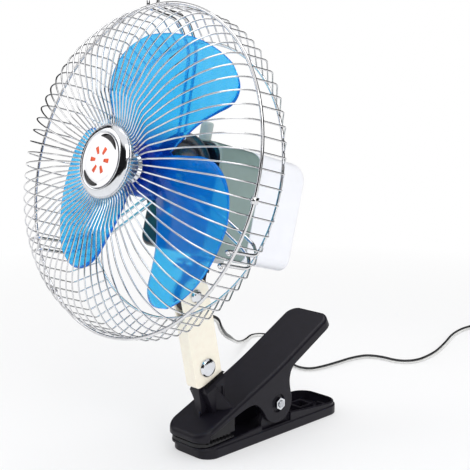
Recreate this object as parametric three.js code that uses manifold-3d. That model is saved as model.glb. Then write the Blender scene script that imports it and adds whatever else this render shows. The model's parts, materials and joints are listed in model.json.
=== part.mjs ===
// Oscillating fan with a wire guard on a spring clip. Millimetres, +Z up.
// The origin is on the table, under the pivot of the clip's two jaws. The fan faces -Y.
import * as THREE from "three";
import { mergeVertices } from "three/addons/utils/BufferGeometryUtils.js";
import Module from "manifold-3d";

const wasm = await Module();
wasm.setup();

const DEG = Math.PI / 180;
const GAP = 0.3;

// ---------------------------------------------------------------- driving dimensions
// Clip
const CLIP_HALF = 20.2;
const CLIP_WALL = 2.6;
const PIVOT_Z = 25;
const CHEEK_RADIUS = 14.8;
const JAW_TIP_Y = -75.5;
const TIER_Z = 7.6;
const JAW_BOLT_RADIUS = 2.5;
const BOSS_HALF = 8.8;
const BOSS_DROP = 11.2;
const BOSS_SLOPE = 0.43;
const SPRING_RADIUS = 6.4;
const SPRING_WIRE = 1;
const SPRING_TURNS = 2.5;

// Bracket, a pressed steel channel that leans forward
const BASE_BOLT = { y: -56.3, z: 61 };
const BRACKET_LEAN = 11 * DEG;
const BRACKET_LENGTH = 53.6;
const BRACKET_HALF_X = 5;
const BRACKET_HALF_Y = 12.5;
const BRACKET_STEEL = 1.5;
const BRACKET_FOOT = { depth: 12, corner: 3 };
const BRACKET_WEB_TOP = 41;

// Head: its origin is the middle of the guard's main hoop, and its local -Y is the air's way out
const HEAD = { y: -112.15, z: 203.2 };
const HEAD_TILT = 15.35 * DEG;

// Guard
const WIRES = 72;
const WIRE_HALF = 0.62;
const HOOP_RADIUS = 108;
const HOOP_WIRE = 1.25;
const HUB_RING = { inner: 20.6, outer: 23.4, depth: 24 };
const REAR_RING = { radius: 92, depth: -36.2 };
const ARM_WIRE = 1.1;
const ARM_PAIRS = [-25, 95, 215];
const ARM_SPREAD = 2.5;
// The wire's line from the badge outwards, as [radius, depth]: a ramp up to a kink, a shallow
// dome, the rim, the sharp rear corner and the slope in to the rear ring.
const WIRE_LINE = [
  [27.6, 24], [44.5, 30.6], [72, 29.8], [92.5, 21.6], [104.8, 7.5], [107.4, -20.4],
];

// Impeller
const BLADES = 3;
const BLADE_TIP = 90;
const BLADE_START = 84;
const BLADE_THICK = 1.6;
const HUB_RADIUS = 17;
// A blade's rear and front edges, as [radius, angle from the blade's middle].
const BLADE_ROWS = [
  [14, -33, 62], [30, -35, 56], [48, -38, 50], [62, -42, 47], [75, -44.5, 41], [85, -40.5, 31],
  [BLADE_TIP, -30, 18],
];
const BLADE_SPAN_STEPS = 6;

// Motor housing, from the guard's hoop plane backwards
const SHELL_HALF = 32;
const SHELL_TOP = 28.5;
const SHELL_BOTTOM = -47;
const SHELL_WALL = 2;
const SHELL_FRONT = 40;
const SHELL_PARTING = 80;
const SHELL_REAR = 127;
const COLLAR_RADIUS = 28.5;
const COLLAR_FRONT = 36.6;
const SWITCH = { z: -33, halfX: 9.5, halfZ: 5.6 };

// Motor and gear train
const SHAFT_RADIUS = 1.6;
const MOTOR_RADIUS = 17.5;
const MOTOR_FRONT = 84;
const MOTOR_REAR = 120;
const WHEEL_TEETH = 20;
const PINION_TEETH = 9;
const CRANK_TEETH = 27;
const WORM_MODULE = 1;
const WORM_STEPS = 7;
const SPUR_MODULE = 1.25;
const ROD = { x: -14, y: 66 };
const WORM_CENTRE_Y = 66;
const CRANK = { x: -7.4, y: 87.51 };
const CRANK_THROW = 6;
const SWIVEL_Y = 68;
const TILT_BOLT = { y: 67.7, z: -74.3 };
const LINK_ANCHOR_X = -12;

// Lead, a limp flat twin wire that ends in a car plug
const CORD_RADIUS = 1.9;
const COIL = { x: -10, y: 370, outer: 29.6, pitch: 4.3, turns: 8.25, low: 2.1 };
const COIL_STEPS = 12;
const PLUG_RADIUS = 10.4;
const GROMMET = { y: -49.8, z: 94.5, fall: 12 * DEG, length: 10, radius: 3.2 };
// The lead comes out of the channel's open back, falls behind the clip, wanders over the table
// and ends in a coil with its plug.
const CORD_ROUTE = [
  [0, -49.5, 94.4], [0, -45.6, 93.6], [-2, -39.5, 90], [-9, -30, 81.5], [-26, -9.5, 69.5], [-49, 18, 56.5],
  [-83, 56, 39.5], [-122, 98, 21.5], [-148, 129, 9.7], [-161, 147, 4.6], [-168.6, 158.9, 2.6],
  [-172.4, 165.3, 2.1], [-174.2, 170, 2.1], [-174, 174.9, 2.1], [-171.7, 179.1, 2.1], [-167.6, 181.7, 2.1],
  [-162.8, 181.8, 2.1], [-158.3, 179.8, 2.1], [-152.4, 175.2, 2.1], [-142, 167, 2.1], [-124, 153, 2.1],
  [-99, 138, 2.1], [-80, 128.5, 2.1], [-69, 127.5, 2.1], [-62, 133, 2.1], [-59, 147, 2.1], [-58, 163, 2.1],
  [-57, 182, 2.1], [-52, 197, 2.1], [-40, 203, 2.1], [-27, 204, 2.1], [-18, 208, 2.1], [-12.5, 217, 2.1],
  [-11.5, 230, 2.1], [-15, 253, 2.1], [-24, 281, 2.1], [-36, 313, 2.1], [-41, 338, 2.1], [-39.8, 362, 2.1],
  [-39.6, 369.6, 2.1],
];

// ---------------------------------------------------------------- materials
function material(colour, roughness, metalness) {
  return new THREE.MeshStandardMaterial({ color: colour, roughness, metalness });
}

const black = material(0x1d1c21, 0.42, 0);
const rubber = material(0x141416, 0.8, 0);
const cream = material(0xe9dfcb, 0.35, 0.1);
const chrome = material(0xd8dadd, 0.12, 1);
const steel = material(0xb4b6b8, 0.35, 1);
const springSteel = material(0x6d6e72, 0.4, 1);
const blueClear = material(0x1e8fe8, 0.12, 0);
const greyPlastic = material(0x7f918d, 0.3, 0);
const whitePlastic = material(0xf1f2f6, 0.3, 0);
const knobGrey = material(0xa6b3b2, 0.35, 0);
const mirror = material(0xf4f4f6, 0.05, 1);
const nylon = material(0xe8e4d8, 0.5, 0);
const brass = material(0xb08d4a, 0.3, 1);
const copper = material(0xa85a32, 0.35, 1);
const ferrite = material(0x3a3b3e, 0.7, 0.1);
const carbon = material(0x2a2a2c, 0.6, 0.2);

// ---------------------------------------------------------------- solids and booleans
function merged(geometry) {
  const bare = geometry.clone();
  bare.deleteAttribute("normal");
  bare.deleteAttribute("uv");
  const welded = mergeVertices(bare, 1e-4);
  const source = welded.index.array;
  const kept = [];
  for (let i = 0; i < source.length; i += 3) {
    const [a, b, c] = [source[i], source[i + 1], source[i + 2]];
    if (a !== b && b !== c && c !== a) {
      kept.push(a, b, c);
    }
  }
  welded.setIndex(kept);
  return outward(welded);
}

// Turns a closed surface's faces outwards.
function outward(geometry) {
  const p = geometry.attributes.position;
  const index = geometry.index.array;
  const [a, b, c] = [new THREE.Vector3(), new THREE.Vector3(), new THREE.Vector3()];
  let volume = 0;
  for (let i = 0; i < index.length; i += 3) {
    a.fromBufferAttribute(p, index[i]);
    b.fromBufferAttribute(p, index[i + 1]);
    c.fromBufferAttribute(p, index[i + 2]);
    volume += a.dot(b.cross(c));
  }
  if (volume < 0) {
    for (let i = 0; i < index.length; i += 3) {
      [index[i], index[i + 1]] = [index[i + 1], index[i]];
    }
  }
  return geometry;
}

function solid(geometry) {
  const g = merged(geometry);
  return new wasm.Manifold(new wasm.Mesh({
    numProp: 3,
    vertProperties: new Float32Array(g.attributes.position.array),
    triVerts: new Uint32Array(g.index.array),
  }));
}

function surface(body) {
  const mesh = body.getMesh();
  const geometry = new THREE.BufferGeometry();
  geometry.setAttribute("position", new THREE.BufferAttribute(mesh.vertProperties, 3));
  geometry.setIndex(new THREE.BufferAttribute(mesh.triVerts, 1));
  return geometry;
}

function join(...parts) {
  return parts.map(asSolid).reduce((a, b) => a.add(b));
}

function cut(body, ...tools) {
  return tools.map(asSolid).reduce((a, b) => a.subtract(b), asSolid(body));
}

function common(body, tool) {
  return asSolid(body).intersect(asSolid(tool));
}

function asSolid(shape) {
  return shape.isBufferGeometry ? solid(shape) : shape;
}

function node(name, shape, look) {
  const geometry = shape.isBufferGeometry ? merged(shape) : surface(shape);
  geometry.computeVertexNormals();
  const mesh = new THREE.Mesh(geometry, look);
  mesh.name = name;
  return mesh;
}

// A solid and its mirror image across the fan's middle plane.
function bothSides(shape) {
  return [asSolid(shape), asSolid(shape).mirror([1, 0, 0])];
}

// ---------------------------------------------------------------- basic shapes
function box(x0, x1, y0, y1, z0, z1) {
  const g = new THREE.BoxGeometry(x1 - x0, y1 - y0, z1 - z0);
  return g.translate((x0 + x1) / 2, (y0 + y1) / 2, (z0 + z1) / 2);
}

function rodX(radius, x0, x1, y, z, sides = 14) {
  const g = new THREE.CylinderGeometry(radius, radius, x1 - x0, sides);
  return g.rotateZ(Math.PI / 2).translate((x0 + x1) / 2, y, z);
}

function rodY(radius, y0, y1, x = 0, z = 0, sides = 14) {
  const g = new THREE.CylinderGeometry(radius, radius, y1 - y0, sides);
  return g.translate(x, (y0 + y1) / 2, z);
}

function rodZ(radius, z0, z1, x = 0, y = 0, sides = 14) {
  const g = new THREE.CylinderGeometry(radius, radius, z1 - z0, sides);
  return g.rotateX(Math.PI / 2).translate(x, y, (z0 + z1) / 2);
}

function outline(points) {
  return new THREE.Shape(points.map(([u, w]) => new THREE.Vector2(u, w)));
}

// A profile in the (y, z) plane, drawn out along X from x0 to x1.
function alongX(points, x0, x1) {
  const g = new THREE.ExtrudeGeometry(outline(points), { depth: x1 - x0, bevelEnabled: false });
  const turn = new THREE.Matrix4().makeBasis(
    new THREE.Vector3(0, 1, 0), new THREE.Vector3(0, 0, 1), new THREE.Vector3(1, 0, 0));
  return g.applyMatrix4(turn).translate(x0, 0, 0);
}

// A profile in the (x, z) plane, drawn out along Y from y0 to y1.
function alongY(points, y0, y1) {
  const g = new THREE.ExtrudeGeometry(outline(points), { depth: y1 - y0, bevelEnabled: false });
  return g.rotateX(Math.PI / 2).translate(0, y1, 0);
}

// A profile in the (x, y) plane, drawn out along Z from z0 to z1.
function alongZ(points, z0, z1) {
  const g = new THREE.ExtrudeGeometry(outline(points), { depth: z1 - z0, bevelEnabled: false });
  return g.translate(0, 0, z0);
}

// A profile of [radius, y] points turned about the local Y axis.
function turned(points, segments = 28) {
  return new THREE.LatheGeometry(points.map(([r, y]) => new THREE.Vector2(r, y)), segments);
}

function arc(cy, cz, radius, from, to, steps) {
  const points = [];
  for (let i = 0; i <= steps; i += 1) {
    const angle = (from + ((to - from) * i) / steps) * DEG;
    points.push([cy + radius * Math.cos(angle), cz + radius * Math.sin(angle)]);
  }
  return points;
}

function roundedRectangle(x0, x1, z0, z1, low, high, steps = 4) {
  return [
    ...arc(x1 - low, z0 + low, low, -90, 0, steps),
    ...arc(x1 - high, z1 - high, high, 0, 90, steps),
    ...arc(x0 + high, z1 - high, high, 90, 180, steps),
    ...arc(x0 + low, z0 + low, low, 180, 270, steps),
  ];
}

// A round wire along a smooth curve through the points.
function wire(points, radius, steps, sides, tension = 0.5) {
  const curve = new THREE.CatmullRomCurve3(points, false, "catmullrom", tension);
  const section = new THREE.Shape(circle(radius, sides));
  return new THREE.ExtrudeGeometry(section, { steps, bevelEnabled: false, extrudePath: curve });
}

function circle(radius, sides) {
  const points = [];
  for (let i = 0; i < sides; i += 1) {
    const angle = ((i + 0.5) * 2 * Math.PI) / sides;
    points.push(new THREE.Vector2(radius * Math.cos(angle), radius * Math.sin(angle)));
  }
  return points;
}

function hexagonX(flats, x0, x1, y, z) {
  return rodX(flats / Math.sqrt(3), x0, x1, y, z, 6);
}

// A spur gear's outline: its teeth narrow from root to tip.
function gearOutline(teeth, module, addendum, dedendum, share) {
  const pitch = (module * teeth) / 2;
  const points = [];
  for (let i = 0; i < teeth; i += 1) {
    const middle = (i * 2 * Math.PI) / teeth;
    const half = (share * Math.PI) / teeth;
    for (const [radius, offset] of [
      [pitch - dedendum, -1.25 * half], [pitch + addendum, -0.7 * half],
      [pitch + addendum, 0.7 * half], [pitch - dedendum, 1.25 * half],
    ]) {
      points.push([radius * Math.cos(middle + offset), radius * Math.sin(middle + offset)]);
    }
  }
  return points;
}

// ---------------------------------------------------------------- clip
function lowerJaw() {
  const plan = roundedRectangle(-CLIP_HALF, CLIP_HALF, JAW_TIP_Y + 4.5, 72, 11, 12, 3);
  const inset = 0.6;
  const upperPlan = roundedRectangle(
    -CLIP_HALF + inset, CLIP_HALF - inset, JAW_TIP_Y + 1, 72 - inset, 11, 12, 3);
  const hollowPlan = roundedRectangle(
    -CLIP_HALF + CLIP_WALL, CLIP_HALF - CLIP_WALL, JAW_TIP_Y + 8, 72 - CLIP_WALL, 8, 10, 2);
  const rim = [
    [-80, 1], [-80, 8.8], [-66, 8.8], [-39, 9.9], [-16, 11.8], [-16, 7.9], [14.5, 7.9],
    [14.5, 14.2], [38, 11.8], [64, 9.8], [80, 9.8], [80, 1],
  ];
  const tray = join(
    alongZ(plan, 0, TIER_Z),
    common(alongZ(upperPlan, 1, 16), alongX(rim, -CLIP_HALF, CLIP_HALF)));
  const ear = [
    [-15, 1], [-14.5, 14], [-11, 21], ...arc(0, PIVOT_Z, 9.4, 170, 0, 8), [12.4, 16], [13.5, 1],
  ];
  const frame = { x0: -10.5, x1: 3.5, y0: 43, y1: 58, top: 6.4 };
  return cut(
    join(
      cut(tray, alongZ(hollowPlan, 2.4, 20)),
      alongX(ear, 14.2, 16.9),
      alongX(ear, -16.9, -14.2),
      cut(
        box(frame.x0, frame.x1, frame.y0, frame.y1, 1, frame.top),
        box(frame.x0 + 2, frame.x1 - 2, frame.y0 + 2, frame.y1 - 2, 2.4, 10)),
      box(-CLIP_HALF + 1.5, CLIP_HALF - 1.5, -38, -35.6, 1, 7),
      box(5, 17.8, 60, 61.8, 1, 7.6),
      box(-1.2, 1.2, -66, -36, 1, 7)),
    rodX(JAW_BOLT_RADIUS + 0.25, -30, 30, 0, PIVOT_Z));
}

function lowerPad() {
  const teeth = [];
  for (let i = 0; i < 8; i += 1) {
    const y = JAW_TIP_Y + 6 + i * 3.2;
    teeth.push([y, 12.1], [y + 1.6, 11.3]);
  }
  const profile = [
    [JAW_TIP_Y + 1.2, 9.1], [JAW_TIP_Y + 1.2, 11.6], [JAW_TIP_Y + 3, 12.1], ...teeth,
    [JAW_TIP_Y + 32, 12.1], [JAW_TIP_Y + 32, 10.7]];
  const plan = roundedRectangle(-18.6, 18.6, JAW_TIP_Y + 1.2, JAW_TIP_Y + 40, 10, 1, 3);
  return common(alongX(profile, -18.4, 18.4), alongZ(plan, 5, 20));
}

function upperPad() {
  const teeth = [];
  for (let i = 0; i < 7; i += 1) {
    const y = JAW_TIP_Y + 9 + i * 3.2;
    teeth.push([y, 12.7], [y + 1.6, 13.5 + i * 0.1]);
  }
  const profile = [...teeth, [JAW_TIP_Y + 34, 14.2], [JAW_TIP_Y + 34, 27.8], [JAW_TIP_Y + 9, 17.2]];
  const plan = roundedRectangle(-17.2, 17.2, JAW_TIP_Y + 6, JAW_TIP_Y + 40, 7, 1, 3);
  return common(alongX(profile, -17.2, 17.2), alongZ(plan, 5, 25));
}

function upperJaw() {
  const top = [[-75.5, 17.4], [-74.4, 18.6], [-1.9, 49.4], [57.9, 81.2]];
  const outer = [
    ...top, [61.9, 74.2], [17.6, 50.4], [14.2, 46.6], [12.6, 41.2], [12.7, 36], [13.6, 31.2],
    ...arc(0, PIVOT_Z, CHEEK_RADIUS, 10, -158, 12),
    [-17.1, 24.1], [-20.2, 27.2], [-24.3, 29.3], [-32.4, 28.8], [-49.2, 23.6], [-66.4, 17.2],
    [-67.5, 12.9], [-75.5, 12.9],
  ];
  const hollow = [
    [-69, 10], [-69, 17.6], [-2.6, 46], [57.2, 77.2], [60.4, 69], [40, 40], [20, 5], [-60, 5],
  ];
  const plan = roundedRectangle(-CLIP_HALF, CLIP_HALF, JAW_TIP_Y, 62, 11, 11, 3);
  const inner = CLIP_HALF - CLIP_WALL;
  const shell = cut(
    common(alongX(outer, -CLIP_HALF, CLIP_HALF), alongZ(plan, 0, 100)),
    common(alongX(hollow, -inner, inner), alongZ(
      roundedRectangle(-inner, inner, JAW_TIP_Y + 6, 59, 7, 9, 2), 0, 100)),
    rodX(JAW_BOLT_RADIUS + 0.25, -30, 30, 0, PIVOT_Z),
    rodX(6.6, CLIP_HALF - 1.4, CLIP_HALF + 1, 0, PIVOT_Z, 18),
    rodX(6.6, -CLIP_HALF - 1, -CLIP_HALF + 1.4, 0, PIVOT_Z, 18));
  return join(shell, boss());
}

// The boss that holds the bracket's foot: a saddle with chamfered, sloping edges, a tongue between
// the bracket's cheeks, an upright web in front and a thin slanting rib a side.
function boss() {
  const { y, z } = BASE_BOLT;
  const wallTop = (py) => z - BOSS_DROP + BOSS_SLOPE * (py - y);
  const [front, rear] = [y - 4.2, y + 13.8];
  const side = [
    [y + 3.8, 26], [front, wallTop(front) - 5], [front, wallTop(front)],
    [rear, wallTop(rear)], [rear, 31],
  ];
  const inner = BRACKET_HALF_X - BRACKET_STEEL - GAP;
  const tongue = alongX([[y - 3.6, 28], ...arc(y, z, 9.2, 190, -10, 9), [y + 9, 34]], -inner, inner);
  const pocket = box(
    -BRACKET_HALF_X - GAP, BRACKET_HALF_X + GAP,
    -BRACKET_HALF_Y - 3, BRACKET_HALF_Y + 5, -BRACKET_FOOT.depth - GAP, 10)
    .rotateX(BRACKET_LEAN)
    .translate(0, y, z);
  const chamfer = alongY([[5.6, 0], [14, 0], [14, -11.5]], -12, 18)
    .rotateX(Math.atan(BOSS_SLOPE))
    .translate(0, y, wallTop(y));
  const recess = box(7.2, 12, y + 6.2, y + 11.8, 20, wallTop(y) - 4);
  const rib = alongY([[0, -16], [0, 0], [11.2, -12.8], [11.2, -16]], -0.6, 0.6)
    .rotateZ(43 * DEG)
    .translate(8, y + 5.1, wallTop(y) - 3.6);
  const web = alongX(
    [[front + 0.2, 24], [front + 0.2, 46], [y + 4, 46], [y + 4, 24]], -1.1, 1.1);
  const saddle = cut(alongX(side, -BOSS_HALF, BOSS_HALF), ...bothSides(chamfer));
  return cut(
    join(
      cut(join(saddle, web), ...bothSides(recess), pocket),
      tongue, ...bothSides(rib)),
    rodX(JAW_BOLT_RADIUS + 0.2, -20, 20, y, z));
}

// A half of the jaw spring: turns round the pivot bolt, then a straight leg to one jaw.
function springHalf(side, legAngle, legReach) {
  const points = [];
  const steps = 8 * SPRING_TURNS;
  const pitch = 2 * SPRING_WIRE + 0.55;
  for (let i = 0; i <= steps; i += 1) {
    const angle = legAngle - Math.PI / 2 - (side * i * 2 * Math.PI) / 8;
    const x = side * (1.5 + SPRING_WIRE * 0.3 + (pitch * (steps - i)) / 8);
    points.push(new THREE.Vector3(
      x, SPRING_RADIUS * Math.cos(angle), PIVOT_Z + SPRING_RADIUS * Math.sin(angle)));
  }
  const tip = points[0];
  const along = new THREE.Vector3(0, Math.cos(legAngle), Math.sin(legAngle));
  const leg = [];
  for (const reach of [legReach, legReach * 0.5, 3]) {
    leg.push(tip.clone().addScaledVector(along, reach));
  }
  return [...leg, ...points];
}

function jawSpring(name, side, legAngle, legReach) {
  const points = springHalf(side, legAngle, legReach);
  const body = sweep(points, SPRING_WIRE, 5);
  console.log(name, "least gap between turns", leastGap(points, SPRING_WIRE, 3).toFixed(2), "mm");
  return node(name, body, springSteel);
}

// A tube with one ring of points at each point of the route, closed at both ends.
function sweep(points, radius, sides) {
  const positions = [];
  const index = [];
  const tangents = points.map((p, i) => {
    const before = points[Math.max(i - 1, 0)];
    const after = points[Math.min(i + 1, points.length - 1)];
    return after.clone().sub(before).normalize();
  });
  let normal = new THREE.Vector3(0, 0, 1);
  if (Math.abs(tangents[0].dot(normal)) > 0.9) {
    normal = new THREE.Vector3(1, 0, 0);
  }
  points.forEach((p, i) => {
    const t = tangents[i];
    normal.addScaledVector(t, -normal.dot(t)).normalize();
    const other = new THREE.Vector3().crossVectors(t, normal);
    for (let k = 0; k < sides; k += 1) {
      const angle = (k * 2 * Math.PI) / sides;
      const at = p.clone().addScaledVector(normal, radius * Math.cos(angle))
        .addScaledVector(other, radius * Math.sin(angle));
      positions.push(at.x, at.y, at.z);
    }
  });
  for (let i = 0; i + 1 < points.length; i += 1) {
    for (let k = 0; k < sides; k += 1) {
      const [a, b] = [i * sides + k, i * sides + ((k + 1) % sides)];
      index.push(a, b, b + sides, a, b + sides, a + sides);
    }
  }
  const last = (points.length - 1) * sides;
  for (let k = 1; k + 1 < sides; k += 1) {
    index.push(0, k + 1, k, last, last + k, last + k + 1);
  }
  const geometry = new THREE.BufferGeometry();
  geometry.setAttribute("position", new THREE.Float32BufferAttribute(positions, 3));
  geometry.setIndex(index);
  return outward(geometry);
}

// The least gap between two stretches of a tube that are more than `skip` points apart.
function leastGap(points, radius, skip) {
  let least = Infinity;
  for (let i = 0; i < points.length; i += 1) {
    for (let j = i + skip; j < points.length; j += 1) {
      least = Math.min(least, points[i].distanceTo(points[j]));
    }
  }
  return least - 2 * radius;
}

function clip() {
  const group = new THREE.Group();
  const boltTo = CLIP_HALF + 3.4;
  group.add(
    node("lower_jaw", lowerJaw(), black),
    node("lower_jaw_pad", lowerPad(), rubber),
    node("upper_jaw", upperJaw(), black),
    node("upper_jaw_pad", upperPad(), rubber),
    node("jaw_pivot_bolt", join(
      rodX(JAW_BOLT_RADIUS, -boltTo, boltTo, 0, PIVOT_Z),
      rodX(4.6, -CLIP_HALF - 2.2, -CLIP_HALF + 1.1, 0, PIVOT_Z)), steel),
    node("jaw_pivot_nut", cut(
      hexagonX(8, CLIP_HALF - 1.1, CLIP_HALF + 2.6, 0, PIVOT_Z),
      rodX(JAW_BOLT_RADIUS + GAP, 0, 40, 0, PIVOT_Z)), chrome),
    jawSpring("jaw_spring_lower", -1, -34 * DEG, 27),
    jawSpring("jaw_spring_upper", 1, 40 * DEG, 30));
  return group;
}

// ---------------------------------------------------------------- bracket
function bracketGroup() {
  const group = new THREE.Group();
  group.position.set(0, BASE_BOLT.y, BASE_BOLT.z);
  group.rotation.x = BRACKET_LEAN;
  const { depth, corner } = BRACKET_FOOT;
  const profile = [
    ...arc(-BRACKET_HALF_Y + corner, corner - depth, corner, 180, 270, 3),
    ...arc(BRACKET_HALF_Y - corner, corner - depth, corner, 270, 360, 3),
    ...arc(0, BRACKET_LENGTH, BRACKET_HALF_Y, 0, 180, 10),
  ];
  const inner = BRACKET_HALF_X - BRACKET_STEEL;
  const bracket = cut(
    alongX(profile, -BRACKET_HALF_X, BRACKET_HALF_X),
    box(-inner, inner, -BRACKET_HALF_Y + BRACKET_STEEL, 30, -30, 90),
    box(-inner, inner, -30, 30, BRACKET_WEB_TOP, 90),
    rodX(JAW_BOLT_RADIUS + 0.2, -20, 20, 0, 0),
    rodX(JAW_BOLT_RADIUS + 0.2, -20, 20, 0, BRACKET_LENGTH));
  group.add(
    node("bracket", bracket, cream),
    node("base_bolt", throughBolt(0, 6.8, 2.6), chrome),
    node("base_nut", lockNut(0), steel),
    node("tilt_bolt", throughBolt(BRACKET_LENGTH, 4.8, 2.4), chrome),
    node("tilt_nut", lockNut(BRACKET_LENGTH), steel));
  return group;
}

function throughBolt(z, headRadius, headHeight) {
  const from = BRACKET_HALF_X + GAP;
  return join(
    rodX(JAW_BOLT_RADIUS, -BRACKET_HALF_X - 6, from + 0.5, 0, z),
    rodX(headRadius, from, from + headHeight * 0.55, 0, z, 18),
    rodX(headRadius * 0.86, from, from + headHeight, 0, z, 18));
}

function lockNut(z) {
  return cut(
    hexagonX(8, -BRACKET_HALF_X - GAP - 4.2, -BRACKET_HALF_X - GAP, 0, z),
    rodX(JAW_BOLT_RADIUS + GAP, -30, 0, 0, z));
}

// ---------------------------------------------------------------- neck and oscillating link
function neck() {
  const { y, z } = TILT_BOLT;
  const half = BRACKET_HALF_X - BRACKET_STEEL - GAP;
  const stem = [
    ...arc(y, z, 12, 180, 360, 10), [y + 8, z + 12], [y + 8, -56], [y - 8, -56], [y - 8, z + 12],
  ];
  const flange = roundedRectangle(LINK_ANCHOR_X - 4.5, 7.5, SWIVEL_Y - 8, SWIVEL_Y + 8, 4.4, 4.4, 3);
  return cut(
    join(
      alongX(stem, -half, half),
      alongZ(flange, -57.5, -54.6),
      rodZ(5.4, -50.5, -47.4, 0, SWIVEL_Y),
      rodZ(3, -55, -38, 0, SWIVEL_Y, 18),
      rodZ(1.25, -55, -50.4, LINK_ANCHOR_X, SWIVEL_Y, 12)),
    rodX(JAW_BOLT_RADIUS + 0.2, -20, 20, y, z));
}

function crankLink() {
  const pinX = CRANK.x - CRANK_THROW;
  const bar = [
    ...arc(pinX + 0.5, SWIVEL_Y, 5, 180, 360, 8),
    ...arc(pinX, CRANK.y, 3.6, 0, 180, 8),
  ];
  return cut(
    alongZ(bar, -53, -51.2),
    rodZ(3.5, -60, -40, pinX + 0.5, SWIVEL_Y, 16),
    rodZ(1.8, -60, -40, pinX, CRANK.y, 16));
}

function crankDisc() {
  return join(
    rodZ(9.2, -50.2, -47.5, CRANK.x, CRANK.y, 28),
    rodZ(2.4, -48, -36, CRANK.x, CRANK.y, 16),
    rodZ(1.8, -37, -30.8, CRANK.x, CRANK.y, 12),
    rodZ(1.5, -54, -50, CRANK.x - CRANK_THROW, CRANK.y, 12));
}

// ---------------------------------------------------------------- guard

// The whole cage as one surface: a hub ring, a rear ring, and three-sided wires that grow out of
// the one and end in the other.
function cage() {
  const positions = [];
  const index = [];
  const quad = (a, b, c, d) => {
    for (const face of [[a, b, c], [a, c, d]]) {
      if (new Set(face).size === 3) {
        index.push(...face);
      }
    }
  };
  const put = (angle, radius, sideways, depth) => {
    const [c, s] = [Math.cos(angle), Math.sin(angle)];
    positions.push(radius * c - sideways * s, -depth, radius * s + sideways * c);
    return positions.length / 3 - 1;
  };
  const h = WIRE_HALF;
  const { inner, outer, depth } = HUB_RING;
  const hubCorners = [[outer, depth + h], [outer, depth - h], [inner, depth]];
  const last = WIRE_LINE[WIRE_LINE.length - 1];
  const end = unit(REAR_RING.radius - last[0], REAR_RING.depth - last[1]);
  const face = [REAR_RING.radius - end[0] * h, REAR_RING.depth - end[1] * h];
  const rearCorners = [
    [face[0] + end[1] * h, face[1] - end[0] * h],
    [face[0] - end[1] * h, face[1] + end[0] * h],
    [face[0] + 2.4 * h * end[0], face[1] + 2.4 * h * end[1]],
  ];
  const rings = [hubCorners, rearCorners].map((corners) => {
    const stations = [];
    for (let k = 0; k < WIRES; k += 1) {
      const angle = (k * 2 * Math.PI) / WIRES;
      for (const side of [-1, 1]) {
        stations.push(corners.map(([r, d]) => put(angle, r, (side * h * r) / corners[0][0], d)));
      }
    }
    stations.forEach((station, s) => {
      const next = stations[(s + 1) % stations.length];
      for (let j = s % 2 === 0 ? 1 : 0; j < 3; j += 1) {
        const k = (j + 1) % 3;
        quad(station[j], next[j], next[k], station[k]);
      }
    });
    return stations;
  });
  const line = [[outer, depth], ...WIRE_LINE, face];
  for (let k = 0; k < WIRES; k += 1) {
    const angle = (k * 2 * Math.PI) / WIRES;
    const [hubA, hubB] = [rings[0][2 * k], rings[0][2 * k + 1]];
    const [rearA, rearB] = [rings[1][2 * k], rings[1][2 * k + 1]];
    const sections = [[hubA[0], hubB[0], hubB[1], hubA[1]]];
    for (let i = 1; i + 1 < line.length; i += 1) {
      const [n, scale] = mitre(line[i - 1], line[i], line[i + 1]);
      const up = [line[i][0] + n[0] * h * scale, line[i][1] + n[1] * h * scale];
      const down = put(angle, line[i][0] - n[0] * h * scale, 0, line[i][1] - n[1] * h * scale);
      sections.push([put(angle, up[0], -h, up[1]), put(angle, up[0], h, up[1]), down, down]);
    }
    sections.push([rearA[1], rearB[1], rearB[0], rearA[0]]);
    for (let i = 0; i + 1 < sections.length; i += 1) {
      for (let j = 0; j < 4; j += 1) {
        const m = (j + 1) % 4;
        quad(sections[i][j], sections[i][m], sections[i + 1][m], sections[i + 1][j]);
      }
    }
  }
  const geometry = new THREE.BufferGeometry();
  geometry.setAttribute("position", new THREE.Float32BufferAttribute(positions, 3));
  geometry.setIndex(index);
  return outward(geometry);
}

function unit(u, w) {
  const length = Math.hypot(u, w);
  return [u / length, w / length];
}

// The normal of a bent line at its middle point, and how much longer it is than a straight one's.
function mitre(before, at, after) {
  const a = unit(at[0] - before[0], at[1] - before[1]);
  const b = unit(after[0] - at[0], after[1] - at[1]);
  const t = unit(a[0] + b[0], a[1] + b[1]);
  return [[-t[1], t[0]], 1 / (t[0] * a[0] + t[1] * a[1])];
}

function radial(angle, radius, depth, sideways = 0) {
  const [c, s] = [Math.cos(angle * DEG), Math.sin(angle * DEG)];
  return new THREE.Vector3(radius * c - sideways * s, -depth, radius * s + sideways * c);
}

// Support plate behind the impeller, with three pairs of arms that carry the hoop.
function guardSupport() {
  const plateFront = COLLAR_FRONT - GAP - 1.5;
  const plate = cut(
    rodY(31.5, plateFront, COLLAR_FRONT - GAP, 0, 0, 28),
    rodY(13, plateFront - 1, COLLAR_FRONT + 1, 0, 0, 18),
    ...ARM_PAIRS.map((angle) => {
      const at = radial(angle + 60, 22, 0);
      return rodY(1.8, plateFront - 1, COLLAR_FRONT + 1, at.x, at.z, 8);
    }));
  const arms = ARM_PAIRS.flatMap((middle) => [-1, 1].map((side) => {
    const angle = middle + side * ARM_SPREAD;
    const depth = -plateFront - ARM_WIRE * 0.3;
    const line = [
      radial(middle, 27, depth, side * 3), radial(angle, 80, depth), radial(angle, 88, -34),
      radial(angle, 101, -24.5), radial(angle, 104, -19), radial(angle, 104.2, 2),
      radial(angle, 105.6, 4.6), radial(angle, 108.6, 5.2),
    ];
    return sweep(line, ARM_WIRE, 5);
  }));
  return join(plate, ...arms);
}

function supportScrew(angle) {
  const at = radial(angle + 60, 22, 0);
  const face = COLLAR_FRONT - 2 * GAP - 1.5;
  return join(
    rodY(3, face - 1.8, face, at.x, at.z, 12),
    rodY(1.5, face - 0.5, COLLAR_FRONT + 4, at.x, at.z, 8));
}

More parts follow.
